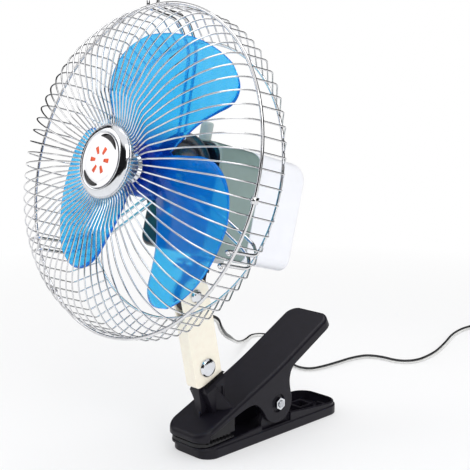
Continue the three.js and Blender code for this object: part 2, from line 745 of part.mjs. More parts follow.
// A folded clip that ties the hoop to a pair of arms, open towards the middle.
function hoopClip(angle) {
  const profile = [
    [106.7, -3.2], [110.9, -3.2], [110.9, 3.2], [106.7, 3.2],
    [106.7, 1.8], [109.6, 1.8], [109.6, -1.8], [106.7, -1.8],
  ];
  const body = alongZ(profile, -2.8, 2.8);
  return body.rotateY(-angle * DEG);
}

function badge() {
  const cap = cut(
    turned([
      [0, -25], [23.5, -25], [23.5, -26.1], [22.3, -27.7], [20, -29], [18.2, -29.5], [17.6, -28.8],
      [0, -28.8]], 26),
    rodY(1.8, -27, -20, 0, 0, 12));
  return [
    node("badge_cap", cap, chrome),
    node("badge_face", rodY(17.2, -29.9, -29.1, 0, 0, 28), mirror),
    node("badge_back_plate", cut(rodY(22.6, -22.9, -21.7, 0, 0, 26), rodY(1.8, -30, -20, 0, 0, 12)), steel),
    node("badge_screw", join(rodY(3.2, -21.4, -19.9, 0, 0, 14), rodY(1.4, -26.6, -21, 0, 0, 12)), steel),
  ];
}

// ---------------------------------------------------------------- impeller

function bladeDepth(angle) {
  return -8.4 + 9.4 * Math.sin((angle / 52) * 80 * DEG);
}

function blade(turn) {
  const positions = [];
  const index = [];
  const columns = BLADE_SPAN_STEPS + 1;
  const count = BLADE_ROWS.length * columns;
  for (const side of [0.5, -0.5]) {
    for (const [radius, rear, front] of BLADE_ROWS) {
      for (let i = 0; i < columns; i += 1) {
        const angle = rear + ((front - rear) * i) / BLADE_SPAN_STEPS;
        const at = radial(turn + angle, radius, bladeDepth(angle) + side * BLADE_THICK);
        positions.push(at.x, at.y, at.z);
      }
    }
  }
  const at = (layer, row, column) => layer * count + row * columns + column;
  const quad = (a, b, c, d) => index.push(a, b, c, a, c, d);
  for (let r = 0; r + 1 < BLADE_ROWS.length; r += 1) {
    for (let i = 0; i + 1 < columns; i += 1) {
      quad(at(0, r, i), at(0, r + 1, i), at(0, r + 1, i + 1), at(0, r, i + 1));
      quad(at(1, r, i), at(1, r, i + 1), at(1, r + 1, i + 1), at(1, r + 1, i));
    }
  }
  for (let r = 0; r + 1 < BLADE_ROWS.length; r += 1) {
    quad(at(0, r, 0), at(1, r, 0), at(1, r + 1, 0), at(0, r + 1, 0));
    quad(
      at(0, r, columns - 1), at(0, r + 1, columns - 1),
      at(1, r + 1, columns - 1), at(1, r, columns - 1));
  }
  const end = BLADE_ROWS.length - 1;
  for (let i = 0; i + 1 < columns; i += 1) {
    quad(at(0, 0, i), at(0, 0, i + 1), at(1, 0, i + 1), at(1, 0, i));
    quad(at(0, end, i), at(1, end, i), at(1, end, i + 1), at(0, end, i + 1));
  }
  const geometry = new THREE.BufferGeometry();
  geometry.setAttribute("position", new THREE.Float32BufferAttribute(positions, 3));
  geometry.setIndex(index);
  return outward(geometry);
}

function impeller() {
  const hub = turned([
    [0, -3], [11, -3], [15, -1.6], [HUB_RADIUS, 1.4], [HUB_RADIUS, 20], [HUB_RADIUS - 2, 20],
    [HUB_RADIUS - 2.4, 2.4], [5, 0], [5, 17], [0, 17]], 20);
  const blades = [];
  for (let i = 0; i < BLADES; i += 1) {
    blades.push(blade(BLADE_START + (i * 360) / BLADES));
  }
  const core = rodY(HUB_RADIUS - 2, 2, 30, 0, 0, 20);
  const inside = cut(core, rodY(5, -10, 40, 0, 0, 20));
  const clear = rodY(4, -40, 40);
  const bore = rodY(SHAFT_RADIUS + GAP, -2.6, 30, 0, 0, 16);
  return cut(join(hub, ...blades.map((b) => cut(b, inside, clear))), bore);
}

function rotor() {
  return [
    node("impeller", impeller(), blueClear),
    node("impeller_cap", turned([[0, -8.2], [4.5, -7.6], [8.5, -5.6], [9.6, -3.3], [0, -3.3]], 24), chrome),
    node("motor_shaft", rodY(SHAFT_RADIUS, -2.2, 123.5, 0, 0, 12), steel),
    node("worm", worm(), brass),
    node("armature_core", armature(), steel),
    node("commutator", ringY(SHAFT_RADIUS + GAP, 4.2, 113.4, 118.6, 18), copper),
  ];
}

function ringY(inner, outer, y0, y1, sides) {
  return cut(rodY(outer, y0, y1, 0, 0, sides), rodY(inner, y0 - 1, y1 + 1, 0, 0, sides));
}

// One-start worm: a thread wound on a sleeve, a pitch per turn.
function worm() {
  const pitch = WORM_MODULE * Math.PI;
  const turns = 3;
  const steps = WORM_STEPS * turns;
  const [root, crest] = [3.1, 4.7];
  const positions = [];
  const index = [];
  for (let i = 0; i <= steps; i += 1) {
    const turn = i / WORM_STEPS - turns / 2;
    const angle = turn * 2 * Math.PI + Math.PI;
    const y = WORM_CENTRE_Y + turn * pitch;
    for (const [r, dy] of [[root - 0.5, -0.7], [crest, -0.32], [crest, 0.32], [root - 0.5, 0.7]]) {
      positions.push(r * Math.cos(angle), y + dy, r * Math.sin(angle));
    }
  }
  for (let i = 0; i < steps; i += 1) {
    for (let k = 0; k < 4; k += 1) {
      const [a, b] = [i * 4 + k, i * 4 + ((k + 1) % 4)];
      index.push(a, b, b + 4, a, b + 4, a + 4);
    }
  }
  const last = steps * 4;
  index.push(0, 2, 1, 0, 3, 2, last, last + 1, last + 2, last, last + 2, last + 3);
  const geometry = new THREE.BufferGeometry();
  geometry.setAttribute("position", new THREE.Float32BufferAttribute(positions, 3));
  geometry.setIndex(index);
  return cut(
    join(outward(geometry), rodY(root, WORM_CENTRE_Y - 8.5, WORM_CENTRE_Y + 8.5, 0, 0, 16)),
    rodY(SHAFT_RADIUS + GAP, 0, 100, 0, 0, 16));
}

// Three-pole laminated core.
function armature() {
  const poles = [];
  for (let i = 0; i < 3; i += 1) {
    const angle = 90 + i * 120;
    const stem = box(0, 10.4, 90, 110, -2.2, 2.2).rotateY(-angle * DEG);
    const shoe = cut(
      common(rodY(12.6, 90, 110, 0, 0, 24), alongY(
        [[0, 0], [20, -17], [20, 17]], 89, 111).rotateY(-angle * DEG)),
      rodY(9.6, 80, 120, 0, 0, 18));
    poles.push(join(stem, shoe));
  }
  return cut(join(rodY(4.6, 90, 110), ...poles), rodY(SHAFT_RADIUS + GAP, 80, 120, 0, 0, 12));
}

// ---------------------------------------------------------------- motor housing
function housingOutline(inset) {
  return roundedRectangle(
    -SHELL_HALF + inset, SHELL_HALF - inset, SHELL_BOTTOM + inset, SHELL_TOP - inset,
    8 - inset * 0.8, 14 - inset, 3);
}

// The housing's block from y0 to y1, with rounded edges of `round` at both ends.
function housingBlock(inset, y0, y1, round) {
  const g = new THREE.ExtrudeGeometry(outline(housingOutline(inset)), {
    depth: y1 - y0 - 2 * round, bevelEnabled: true, bevelThickness: round, bevelSize: round,
    bevelOffset: -round, bevelSegments: 2,
  });
  return g.rotateX(Math.PI / 2).translate(0, y1 - round, 0);
}

function housingCavity(inset, y0, y1) {
  return alongY(housingOutline(inset), y0, y1);
}

function frontShell() {
  const outer = cut(
    housingBlock(0, SHELL_FRONT, SHELL_PARTING + 20, 3.5),
    box(-60, 60, SHELL_PARTING - GAP / 2, 200, -80, 80));
  const cavity = cut(
    housingCavity(SHELL_WALL + 0.8, SHELL_FRONT + 2.2, SHELL_PARTING + 20), rodY(8, 30, SHELL_FRONT + 6));
  const collar = rodY(COLLAR_RADIUS, COLLAR_FRONT, SHELL_FRONT + 2, 0, 0, 32);
  const knobCollar = turned([[0, 24], [9.4, 24], [9.4, 28.6], [7.4, 30.4], [6.6, 32.2], [0, 32.2]], 16)
    .rotateX(Math.PI / 2).translate(ROD.x, ROD.y, 0);
  const knobSeat = cut(knobCollar, rodZ(20, 0, SHELL_TOP - SHELL_WALL, ROD.x, ROD.y));
  const swivelBoss = rodZ(8.5, SHELL_BOTTOM + 1, -41.4, 0, SWIVEL_Y, 16);
  return cut(
    join(cut(join(outer, collar), cavity), knobSeat, swivelBoss),
    rodY(4.3, 20, 60, 0, 0, 20),
    rodZ(4.9, 20, 40, ROD.x, ROD.y, 16),
    rodZ(5.4, -60, -30, 0, SWIVEL_Y, 18),
    ...ARM_PAIRS.map((angle) => {
      const at = radial(angle + 60, 22, 0);
      return rodY(1.75, COLLAR_FRONT - 1, COLLAR_FRONT + 4.6, at.x, at.z, 8);
    }));
}

function rearCover() {
  const outer = cut(
    housingBlock(-0.4, SHELL_PARTING - 20, SHELL_REAR, 5.5),
    box(-60, 60, 0, SHELL_PARTING + GAP / 2, -80, 80));
  const cavity = housingCavity(SHELL_WALL + 0.4, SHELL_PARTING - 20, SHELL_REAR - 2.6);
  const ribs = [
    box(-1, 1, 90, 112, MOTOR_RADIUS + GAP, SHELL_TOP - 2),
    box(-1, 1, 107, 117, SHELL_BOTTOM + 2, -MOTOR_RADIUS - GAP),
    box(MOTOR_RADIUS + GAP, SHELL_HALF - 2, 90, 112, -1, 1),
    box(-SHELL_HALF + 2, -MOTOR_RADIUS - GAP, 90, 112, -1, 1),
  ];
  return cut(
    join(cut(outer, cavity), ...ribs),
    rodZ(2.7, -60, -40, CRANK.x, CRANK.y, 20),
    box(-SWITCH.halfX, SWITCH.halfX, SHELL_REAR - 6, SHELL_REAR + 2, SWITCH.z - SWITCH.halfZ,
      SWITCH.z + SWITCH.halfZ));
}

function switchBezel() {
  const [x, z] = [SWITCH.halfX - GAP, SWITCH.halfZ - GAP];
  return cut(
    join(
      box(-x, x, SHELL_REAR - 9, SHELL_REAR + 0.5, SWITCH.z - z, SWITCH.z + z),
      box(-x - 1.6, x + 1.6, SHELL_REAR + GAP, SHELL_REAR + 1.6, SWITCH.z - z - 1.4, SWITCH.z + z + 1.4)),
    box(-x + 1.2, x - 1.2, SHELL_REAR - 6, SHELL_REAR + 4, SWITCH.z - z + 1.2, SWITCH.z + z - 1.2));
}

// The rocker stands with one end out and rocks about its middle.
function switchRocker() {
  const x = SWITCH.halfX - GAP - 2;
  const top = SHELL_REAR + 1.4;
  const profile = [
    [-x, SHELL_REAR - 2.4], [x, SHELL_REAR - 2.4], [x, top + 1.6], [0, top - 0.2], [-x, top - 0.6],
  ];
  return alongZ(profile, SWITCH.z - 3.6, SWITCH.z + 3.6);
}

function motor() {
  const can = cut(
    rodY(MOTOR_RADIUS, MOTOR_FRONT, MOTOR_REAR, 0, 0, 20),
    rodY(MOTOR_RADIUS - 1, MOTOR_FRONT + 1.2, MOTOR_REAR + 1, 0, 0, 20),
    rodY(3, MOTOR_FRONT - 1, MOTOR_FRONT + 3, 0, 0, 12));
  const magnet = (side) => cut(
    common(
      rodY(MOTOR_RADIUS - 1.4, 88, 112, 0, 0, 20),
      alongY([[0, 0], [side * 30, -22], [side * 30, 22]], 87, 113)),
    rodY(13.2, 80, 120, 0, 0, 20));
  const brush = (side) => box(...(side > 0 ? [4.6, 12] : [-12, -4.6]), 114.4, 117.8, -1.9, 1.9);
  const endCap = cut(
    rodY(MOTOR_RADIUS, MOTOR_REAR + GAP, MOTOR_REAR + 3.4, 0, 0, 24),
    rodY(SHAFT_RADIUS + 0.2, 100, 130, 0, 0, 12));
  return [
    node("motor_can", can, steel),
    node("motor_magnet_right", magnet(1), ferrite),
    node("motor_magnet_left", magnet(-1), ferrite),
    node("motor_brush_right", brush(1), carbon),
    node("motor_brush_left", brush(-1), carbon),
    node("motor_end_cap", endCap, nylon),
  ];
}

function gearTrain() {
  const turn = (points, angle) => points.map(([x, y]) => {
    const [c, s] = [Math.cos(angle), Math.sin(angle)];
    return [x * c - y * s, x * s + y * c];
  });
  const mesh = Math.atan2(CRANK.y - ROD.y, CRANK.x - ROD.x);
  const wheel = cut(
    alongZ(gearOutline(WHEEL_TEETH, WORM_MODULE, 0.7, 1, 0.3), -2.4, 2.4).rotateZ(Math.PI / WHEEL_TEETH),
    rodZ(1.95, -10, 10, 0, 0, 16)).translate([ROD.x, ROD.y, 0]);
  const pinion = cut(
    alongZ(turn(gearOutline(PINION_TEETH, SPUR_MODULE, 1, 1.4, 0.42), mesh), -36, -31.6),
    rodZ(1.95, -50, 0, 0, 0, 16)).translate([ROD.x, ROD.y, 0]);
  const tooth = mesh + Math.PI + Math.PI / CRANK_TEETH;
  const crankGear = cut(
    alongZ(turn(gearOutline(CRANK_TEETH, SPUR_MODULE, 1, 1.4, 0.42), tooth), -35.6, -32),
    rodZ(2.1, -50, 0, 0, 0, 16)).translate([CRANK.x, CRANK.y, 0]);
  return [
    node("worm_wheel", wheel, nylon),
    node("clutch_pinion", pinion, nylon),
    node("crank_gear", crankGear, nylon),
    node("crank_disc", crankDisc(), steel),
    node("crank_link", crankLink(), steel),
    node("clutch_rod", rodZ(1.65, -43.9, 27.6, ROD.x, ROD.y, 14), steel),
    node("clutch_knob", turned([
      [0, 33.5], [1.95, 33.5], [1.95, 28], [4.4, 28], [4.4, 43.6], [3.6, 44.6], [0, 44.6]], 16)
      .rotateX(Math.PI / 2).translate(ROD.x, ROD.y, 0), knobGrey),
  ];
}

function head() {
  const group = new THREE.Group();
  group.position.set(0, HEAD.y, HEAD.z);
  group.rotation.x = -HEAD_TILT;
  const hoop = new THREE.TorusGeometry(HOOP_RADIUS, HOOP_WIRE, 5, 60).rotateX(Math.PI / 2);
  group.add(
    node("guard_cage", cage(), chrome),
    node("guard_hoop", hoop, chrome),
    node("guard_support", guardSupport(), chrome),
    ...ARM_PAIRS.map((angle, i) => node(`hoop_clip_${i + 1}`, hoopClip(angle), chrome)),
    ...ARM_PAIRS.map((angle, i) => node(`support_screw_${i + 1}`, supportScrew(angle), steel)),
    ...badge(),
    ...rotor(),
    node("housing_front", frontShell(), greyPlastic),
    node("housing_rear", rearCover(), whitePlastic),
    node("front_bush", ringY(SHAFT_RADIUS + 0.1, 4, COLLAR_FRONT + 0.4, SHELL_FRONT + 5, 18), brass),
    node("swivel_bush", cut(rodZ(5.1, SHELL_BOTTOM, -37.4, 0, SWIVEL_Y, 18),
      rodZ(3.1, -60, -30, 0, SWIVEL_Y, 18)), brass),
    ...motor(),
    ...gearTrain(),
    node("switch_bezel", switchBezel(), black),
    node("switch_rocker", switchRocker(), black),
    node("neck", neck(), black));
  return group;
}

// ---------------------------------------------------------------- lead

function cordRoute() {
  return CORD_ROUTE.map(([x, y, z]) => new THREE.Vector3(x, y, z));
}

// The put-away length: from the outside in on the table, and out again on top.
function coilRoute() {
  const steps = COIL_STEPS * COIL.turns;
  const points = [];
  for (let i = 0; i <= steps; i += 1) {
    const turn = i / COIL_STEPS;
    const inward = Math.min(turn, COIL.turns - turn);
    const climb = THREE.MathUtils.clamp((turn - COIL.turns / 2) * 2 + 0.5, 0, 1);
    const angle = Math.PI - turn * 2 * Math.PI;
    const radius = COIL.outer - COIL.pitch * inward;
    points.push(new THREE.Vector3(
      COIL.x + radius * Math.cos(angle), COIL.y + radius * Math.sin(angle), COIL.low + COIL.pitch * climb));
  }
  const end = points[points.length - 1];
  return [...points, ...coilTail().map(([x, y, z]) => new THREE.Vector3(end.x + x, end.y + y, z))];
}

// The stretch from the coil's last turn up to the plug's boot.
function coilTail() {
  return [[6, 0.2, 7], [12, 0, 8.8], [18, 0, 10], [22, 0, PLUG_RADIUS], [26, 0, PLUG_RADIUS]];
}

function coil() {
  const points = coilRoute();
  const gap = leastGap(points, CORD_RADIUS, COIL_STEPS / 2);
  console.log("cord_coil least gap between turns", gap.toFixed(2), "mm");
  return node("cord_coil", sweep(points, CORD_RADIUS, 6), black);
}

function grommet() {
  const { length, radius } = GROMMET;
  const mesh = node("cord_grommet", turned([
    [0, -length], [radius, -length], [radius, -3], [2.8, -1.5], [2.5, 0], [0, 0]], 16), rubber);
  mesh.position.set(0, GROMMET.y, GROMMET.z);
  mesh.rotation.x = -GROMMET.fall;
  return mesh;
}

// A car lighter plug lying on the table, pointing along +X.
function plug() {
  const group = new THREE.Group();
  const route = coilRoute();
  const end = route[route.length - 1];
  group.position.set(end.x + GAP, end.y, PLUG_RADIUS + 0.1);
  group.rotation.z = -Math.PI / 2;
  const body = cut(
    turned([
      [0, 13], [6.5, 13], [9, 15], [PLUG_RADIUS, 19], [PLUG_RADIUS, 33], [9.6, 34.5], [9.6, 53], [7.6, 60],
      [5, 61.6], [0, 61.6]], 16),
    rodY(3.1, 52.6, 70, 0, 0, 14),
    box(6.4, 14, 37, 51, -2.4, 2.4),
    box(-14, -6.4, 37, 51, -2.4, 2.4));
  group.add(
    node("plug_boot", turned([[0, 0], [2.6, 0], [3.2, 2], [3.8, 12.7], [0, 12.7]], 16), rubber),
    node("plug_body", body, black),
    node("plug_tip", turned([[0, 55.3], [2.8, 55.3], [2.8, 64.5], [1.6, 66], [0, 66]], 14), chrome),
    ...[-1, 1].map((side) => node(
      side > 0 ? "plug_contact_right" : "plug_contact_left",
      alongZ([
        [side * 6.8, 37.4], [side * 8.2, 37.4], [side * 10.6, 42], [side * 10.6, 46], [side * 8.2, 50.6],
        [side * 6.8, 50.6]], -2, 2), chrome)));
  return group;
}

function lead() {
  return [grommet(), node("cord", wire(cordRoute(), CORD_RADIUS, 46, 8), black), coil(), plug()];
}

// ---------------------------------------------------------------- assembly
const fan = new THREE.Group();
fan.name = "clip_fan";
fan.add(clip(), bracketGroup(), head(), ...lead());

export default fan;
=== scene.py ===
"""The clip fan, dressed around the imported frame: wire guard, clear blue impeller, two-colour motor
housing, cream bracket, black spring clip and a flat twin lead. The frame is in metres and the shapes here
are written in millimetres."""

import json
import math

import bmesh
import bpy
from mathutils import Matrix, Vector
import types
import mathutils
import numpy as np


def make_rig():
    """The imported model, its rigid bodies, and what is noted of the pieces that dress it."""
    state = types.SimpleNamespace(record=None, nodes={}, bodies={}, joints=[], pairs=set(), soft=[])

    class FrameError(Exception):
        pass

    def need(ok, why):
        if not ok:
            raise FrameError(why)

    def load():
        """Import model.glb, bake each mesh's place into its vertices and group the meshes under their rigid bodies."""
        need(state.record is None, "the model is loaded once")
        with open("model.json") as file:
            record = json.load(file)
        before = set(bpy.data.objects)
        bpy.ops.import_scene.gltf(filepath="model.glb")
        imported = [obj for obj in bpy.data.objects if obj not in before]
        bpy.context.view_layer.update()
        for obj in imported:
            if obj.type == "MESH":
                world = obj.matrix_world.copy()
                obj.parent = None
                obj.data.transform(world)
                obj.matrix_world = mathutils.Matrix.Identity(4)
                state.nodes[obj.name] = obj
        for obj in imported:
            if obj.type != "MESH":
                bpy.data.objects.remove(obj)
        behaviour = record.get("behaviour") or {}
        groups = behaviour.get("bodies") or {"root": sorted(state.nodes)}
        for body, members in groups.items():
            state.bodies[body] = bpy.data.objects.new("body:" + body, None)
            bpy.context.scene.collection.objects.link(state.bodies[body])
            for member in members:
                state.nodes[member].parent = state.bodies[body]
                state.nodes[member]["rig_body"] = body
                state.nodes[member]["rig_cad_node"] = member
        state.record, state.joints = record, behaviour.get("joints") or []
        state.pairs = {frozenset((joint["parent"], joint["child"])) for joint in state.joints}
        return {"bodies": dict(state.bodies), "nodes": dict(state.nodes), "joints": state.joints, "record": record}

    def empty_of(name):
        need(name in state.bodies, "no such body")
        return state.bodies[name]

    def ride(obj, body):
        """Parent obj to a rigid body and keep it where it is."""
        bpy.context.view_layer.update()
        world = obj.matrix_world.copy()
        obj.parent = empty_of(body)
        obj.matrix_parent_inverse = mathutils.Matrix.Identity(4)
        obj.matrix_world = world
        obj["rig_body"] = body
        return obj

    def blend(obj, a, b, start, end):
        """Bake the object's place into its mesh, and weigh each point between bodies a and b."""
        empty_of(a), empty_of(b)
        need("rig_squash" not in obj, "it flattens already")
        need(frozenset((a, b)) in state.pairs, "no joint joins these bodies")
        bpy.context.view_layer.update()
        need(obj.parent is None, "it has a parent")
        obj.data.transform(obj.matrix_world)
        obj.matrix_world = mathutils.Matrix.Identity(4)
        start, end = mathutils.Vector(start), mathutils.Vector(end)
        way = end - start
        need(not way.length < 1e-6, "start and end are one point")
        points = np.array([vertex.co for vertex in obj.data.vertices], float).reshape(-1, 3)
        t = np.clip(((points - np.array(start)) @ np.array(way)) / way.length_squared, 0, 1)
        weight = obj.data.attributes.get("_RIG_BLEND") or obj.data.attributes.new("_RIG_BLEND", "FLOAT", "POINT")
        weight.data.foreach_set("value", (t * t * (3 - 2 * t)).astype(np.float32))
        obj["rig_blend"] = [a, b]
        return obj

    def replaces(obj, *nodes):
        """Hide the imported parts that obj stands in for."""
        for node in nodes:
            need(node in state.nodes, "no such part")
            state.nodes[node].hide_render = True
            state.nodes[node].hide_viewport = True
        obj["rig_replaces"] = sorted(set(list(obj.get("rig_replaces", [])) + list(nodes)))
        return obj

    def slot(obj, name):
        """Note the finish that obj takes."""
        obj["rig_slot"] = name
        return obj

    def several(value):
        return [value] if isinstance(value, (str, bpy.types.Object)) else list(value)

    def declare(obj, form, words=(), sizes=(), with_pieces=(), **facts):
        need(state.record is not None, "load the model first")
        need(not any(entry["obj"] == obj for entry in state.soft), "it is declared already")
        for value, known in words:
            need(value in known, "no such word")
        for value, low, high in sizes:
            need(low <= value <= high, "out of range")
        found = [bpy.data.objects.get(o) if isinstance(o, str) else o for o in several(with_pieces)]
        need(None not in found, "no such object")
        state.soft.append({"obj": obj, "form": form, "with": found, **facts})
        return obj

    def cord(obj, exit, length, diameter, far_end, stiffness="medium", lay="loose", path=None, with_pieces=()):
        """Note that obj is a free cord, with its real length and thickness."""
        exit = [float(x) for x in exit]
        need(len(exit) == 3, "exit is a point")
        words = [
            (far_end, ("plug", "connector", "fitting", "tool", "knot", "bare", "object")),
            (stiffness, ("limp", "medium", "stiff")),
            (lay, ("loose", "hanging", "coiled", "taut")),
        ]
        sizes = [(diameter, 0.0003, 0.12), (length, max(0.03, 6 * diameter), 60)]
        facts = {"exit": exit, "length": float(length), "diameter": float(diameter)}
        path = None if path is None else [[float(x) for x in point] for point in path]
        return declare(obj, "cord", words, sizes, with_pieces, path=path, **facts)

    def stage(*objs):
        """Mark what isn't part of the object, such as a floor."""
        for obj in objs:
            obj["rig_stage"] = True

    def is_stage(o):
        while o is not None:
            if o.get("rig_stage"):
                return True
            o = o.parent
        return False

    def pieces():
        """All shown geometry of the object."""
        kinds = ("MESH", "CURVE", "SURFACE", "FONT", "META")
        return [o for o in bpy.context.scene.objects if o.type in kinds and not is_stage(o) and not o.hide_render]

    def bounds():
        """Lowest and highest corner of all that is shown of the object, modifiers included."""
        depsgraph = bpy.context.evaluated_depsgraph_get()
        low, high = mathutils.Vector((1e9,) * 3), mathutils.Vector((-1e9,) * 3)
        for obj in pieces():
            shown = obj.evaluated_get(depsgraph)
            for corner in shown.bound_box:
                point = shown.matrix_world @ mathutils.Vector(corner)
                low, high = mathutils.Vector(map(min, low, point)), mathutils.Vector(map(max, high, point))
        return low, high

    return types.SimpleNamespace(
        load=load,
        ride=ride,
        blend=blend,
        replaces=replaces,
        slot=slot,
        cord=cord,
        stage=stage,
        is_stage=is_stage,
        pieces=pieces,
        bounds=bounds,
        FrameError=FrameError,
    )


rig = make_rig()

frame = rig.load()
CAD_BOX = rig.bounds()

MM = 0.001
IDENTITY = Matrix.Identity(4)
MIRROR = Matrix.Scale(-1, 4, (1, 0, 0))
FULL_TURN = 2 * math.pi
QUARTER = math.pi / 2

# Where the bodies' own frames stand: the guard's middle, and the bracket's lower bolt
HEAD = Matrix.Translation((0, -0.11215, 0.2032)) @ Matrix.Rotation(math.radians(-15.35), 4, "X")
BRACKET_LEAN = math.radians(11)
BRACKET_Y, BRACKET_Z = -56.3, 61
BRACKET = Matrix.Translation((0, BRACKET_Y * MM, BRACKET_Z * MM)) @ Matrix.Rotation(BRACKET_LEAN, 4, "X")
PIVOT_Y, PIVOT_Z = 0, 25

BODY_OF = {node: body for body, nodes in frame["record"]["behaviour"]["bodies"].items() for node in nodes}


def placed(name, data):
    """A new object in the scene."""
    obj = bpy.data.objects.new(name, data)
    bpy.context.scene.collection.objects.link(obj)
    return obj


# -------- camera
FOCAL_PIXELS, FRAME_PIXELS, SENSOR = 1000, 470, 36
CAMERA_PLACE = (0.49298, -0.51023, 0.27376)
CAMERA_TILT, CAMERA_TURN = math.radians(79.84), math.radians(45.42)


def make_camera():
    """The photograph's camera: 45 degrees round from the front and 10 degrees above."""
    data = bpy.data.cameras.new("camera")
    data.sensor_width = SENSOR
    data.lens = SENSOR * FOCAL_PIXELS / FRAME_PIXELS
    camera = placed("camera", data)
    camera.location = CAMERA_PLACE
    camera.rotation_euler = (CAMERA_TILT, 0, CAMERA_TURN)
    bpy.context.scene.camera = camera


# -------- mesh building
def outward(mesh, weld=0.0):
    """Turns a mesh's faces outward, after joining points that lie within weld metres, and smooths it."""
    bm = bmesh.new()
    bm.from_mesh(mesh)
    if weld:
        bmesh.ops.remove_doubles(bm, verts=bm.verts, dist=weld)
    bmesh.ops.recalc_face_normals(bm, faces=bm.faces)
    for face in bm.faces:
        face.smooth = True
    bm.to_mesh(mesh)
    bm.free()


class Build:
    """Vertices in millimetres and faces, gathered from several shapes into one mesh."""

    def __init__(self):
        self.points = []
        self.faces = []
        self.looks = []

    def add(self, shape, look=0, turn=IDENTITY):
        points, faces = shape
        first = len(self.points)
        self.points += [turn @ Vector(p) for p in points]
        self.faces += [[first + i for i in face] for face in faces]
        self.looks += [look] * len(faces)
        return self

    def piece(self, name, body, looks, stands_for=(), place=HEAD):
        """A smooth-shaded object with outward faces that rides on a body of the frame."""
        mesh = bpy.data.meshes.new(name)
        mesh.from_pydata([place @ (p * MM) for p in self.points], [], self.faces)
        for look in looks:
            mesh.materials.append(look)
        mesh.polygons.foreach_set("material_index", self.looks)
        outward(mesh, weld=1e-7)
        obj = placed(name, mesh)
        if body:
            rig.ride(obj, body)
        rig.slot(obj, looks[0]["slot"])
        if stands_for:
            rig.replaces(obj, *stands_for)
        return obj


def rounded(points, radius, steps=4):
    """A line in two or three dimensions with its corners rounded; radius is one size or one a corner."""
    points = [Vector(p) for p in points]
    radii = radius if hasattr(radius, "__len__") else [radius] * (len(points) - 2)
    line = [points[0]]
    for before, at, after, size in zip(points, points[1:], points[2:], radii):
        back, on = before - at, after - at
        reach = min(size, 0.48 * back.length, 0.48 * on.length)
        start, end = at + back.normalized() * reach, at + on.normalized() * reach
        for i in range(steps + 1):
            t = i / steps
            line.append(start * (1 - t) ** 2 + at * 2 * t * (1 - t) + end * t**2)
    return line + [points[-1]]


def through(points, steps):
    """A smooth line through the points: three.js's catmullrom curve of tension 0.5."""
    points = [Vector(p) for p in points]
    padded = [2 * points[0] - points[1], *points, 2 * points[-1] - points[-2]]
    line = []
    for a, b, c, d in zip(padded, padded[1:], padded[2:], padded[3:]):
        for i in range(steps):
            t = i / steps
            line.append(b + 0.5 * t * (c - a) + t * t * (a - 2.5 * b + 2 * c - 0.5 * d)
                        + t**3 * (-0.5 * a + 1.5 * b - 1.5 * c + 0.5 * d))
    return line + [points[-1]]


def directions(line, closed=False):
    """The line's direction at each of its points."""
    count = len(line)
    if closed:
        return [(line[(i + 1) % count] - line[i - 1]).normalized() for i in range(count)]
    return [(line[min(i + 1, count - 1)] - line[max(i - 1, 0)]).normalized() for i in range(count)]


def loft(rings, closed=False):
    """Skin over rings of equally many points, with its two ends covered where it is open."""
    sides = len(rings[0])
    points = [p for ring in rings for p in ring]
    faces = []
    for i in range(len(rings) - (0 if closed else 1)):
        a, b = i * sides, ((i + 1) % len(rings)) * sides
        faces += [[a + k, a + (k + 1) % sides, b + (k + 1) % sides, b + k] for k in range(sides)]
    if not closed:
        faces.append(list(range(sides))[::-1])
        faces.append([len(points) - sides + k for k in range(sides)])
    return points, faces


def tube(line, radius, sides=8, closed=False):
    """A round wire along a line, with domed ends where it is open."""
    line = [Vector(p) for p in line]
    tangents = directions(line, closed)
    across = Vector((0, 0, 1)) if abs(tangents[0].z) < 0.9 else Vector((1, 0, 0))
    spokes = [FULL_TURN * k / sides for k in range(sides)]
    rings = []
    for at, tangent in zip(line, tangents):
        across = (across - tangent * tangent.dot(across)).normalized()
        other = tangent.cross(across)
        rings.append([at + (across * math.cos(a) + other * math.sin(a)) * radius for a in spokes])
    if not closed:
        for end, tangent, front in ((0, -tangents[0], True), (-1, tangents[-1], False)):
            centre, ring = line[end], rings[end]
            domed = [[centre + (p - centre) * math.cos(a) + tangent * radius * math.sin(a) for p in ring]
                     for a in (0.7, 1.3)]
            rings = domed[::-1] + rings if front else rings + domed
    return loft(rings, closed)


def circle_line(radius, depth, steps):
    """Points round the head's axis, depth in front of the hoop."""
    angles = [FULL_TURN * i / steps for i in range(steps)]
    return [Vector((radius * math.cos(a), -depth, radius * math.sin(a))) for a in angles]


def lathe(profile, segments=64):
    """A profile of (radius, y) turned about the Y axis; it may start and end on the axis."""
    angles = [FULL_TURN * k / segments for k in range(segments)]
    points, rings, faces = [], [], []
    for r, y in profile:
        if r < 1e-6:
            rings.append([len(points)])
            points.append(Vector((0, y, 0)))
        else:
            rings.append(list(range(len(points), len(points) + segments)))
            points += [Vector((r * math.cos(a), y, r * math.sin(a))) for a in angles]
    for low, high in zip(rings, rings[1:]):
        if len(low) == 1 and len(high) == 1:
            continue
        for k in range(segments):
            a, b = low[k % len(low)], low[(k + 1) % len(low)]
            c, d = high[(k + 1) % len(high)], high[k % len(high)]
            face = [a, b, c, d]
            faces.append([v for n, v in enumerate(face) if v != face[n - 1]])
    return points, faces


def turned(profile, size=0.4, segments=64, steps=3):
    """A turned solid whose profile has rounded corners."""
    return lathe(rounded(profile, size, steps), segments)


def radial(angle, radius, depth, sideways=0):
    """A point at an angle round the head's axis, depth in front of the hoop."""
    c, s = math.cos(math.radians(angle)), math.sin(math.radians(angle))
    return Vector((radius * c - sideways * s, -depth, radius * s + sideways * c))


def arc(cu, cw, radius, start, end, steps):
    angles = [math.radians(start + (end - start) * i / steps) for i in range(steps + 1)]
    return [(cu + radius * math.cos(a), cw + radius * math.sin(a)) for a in angles]


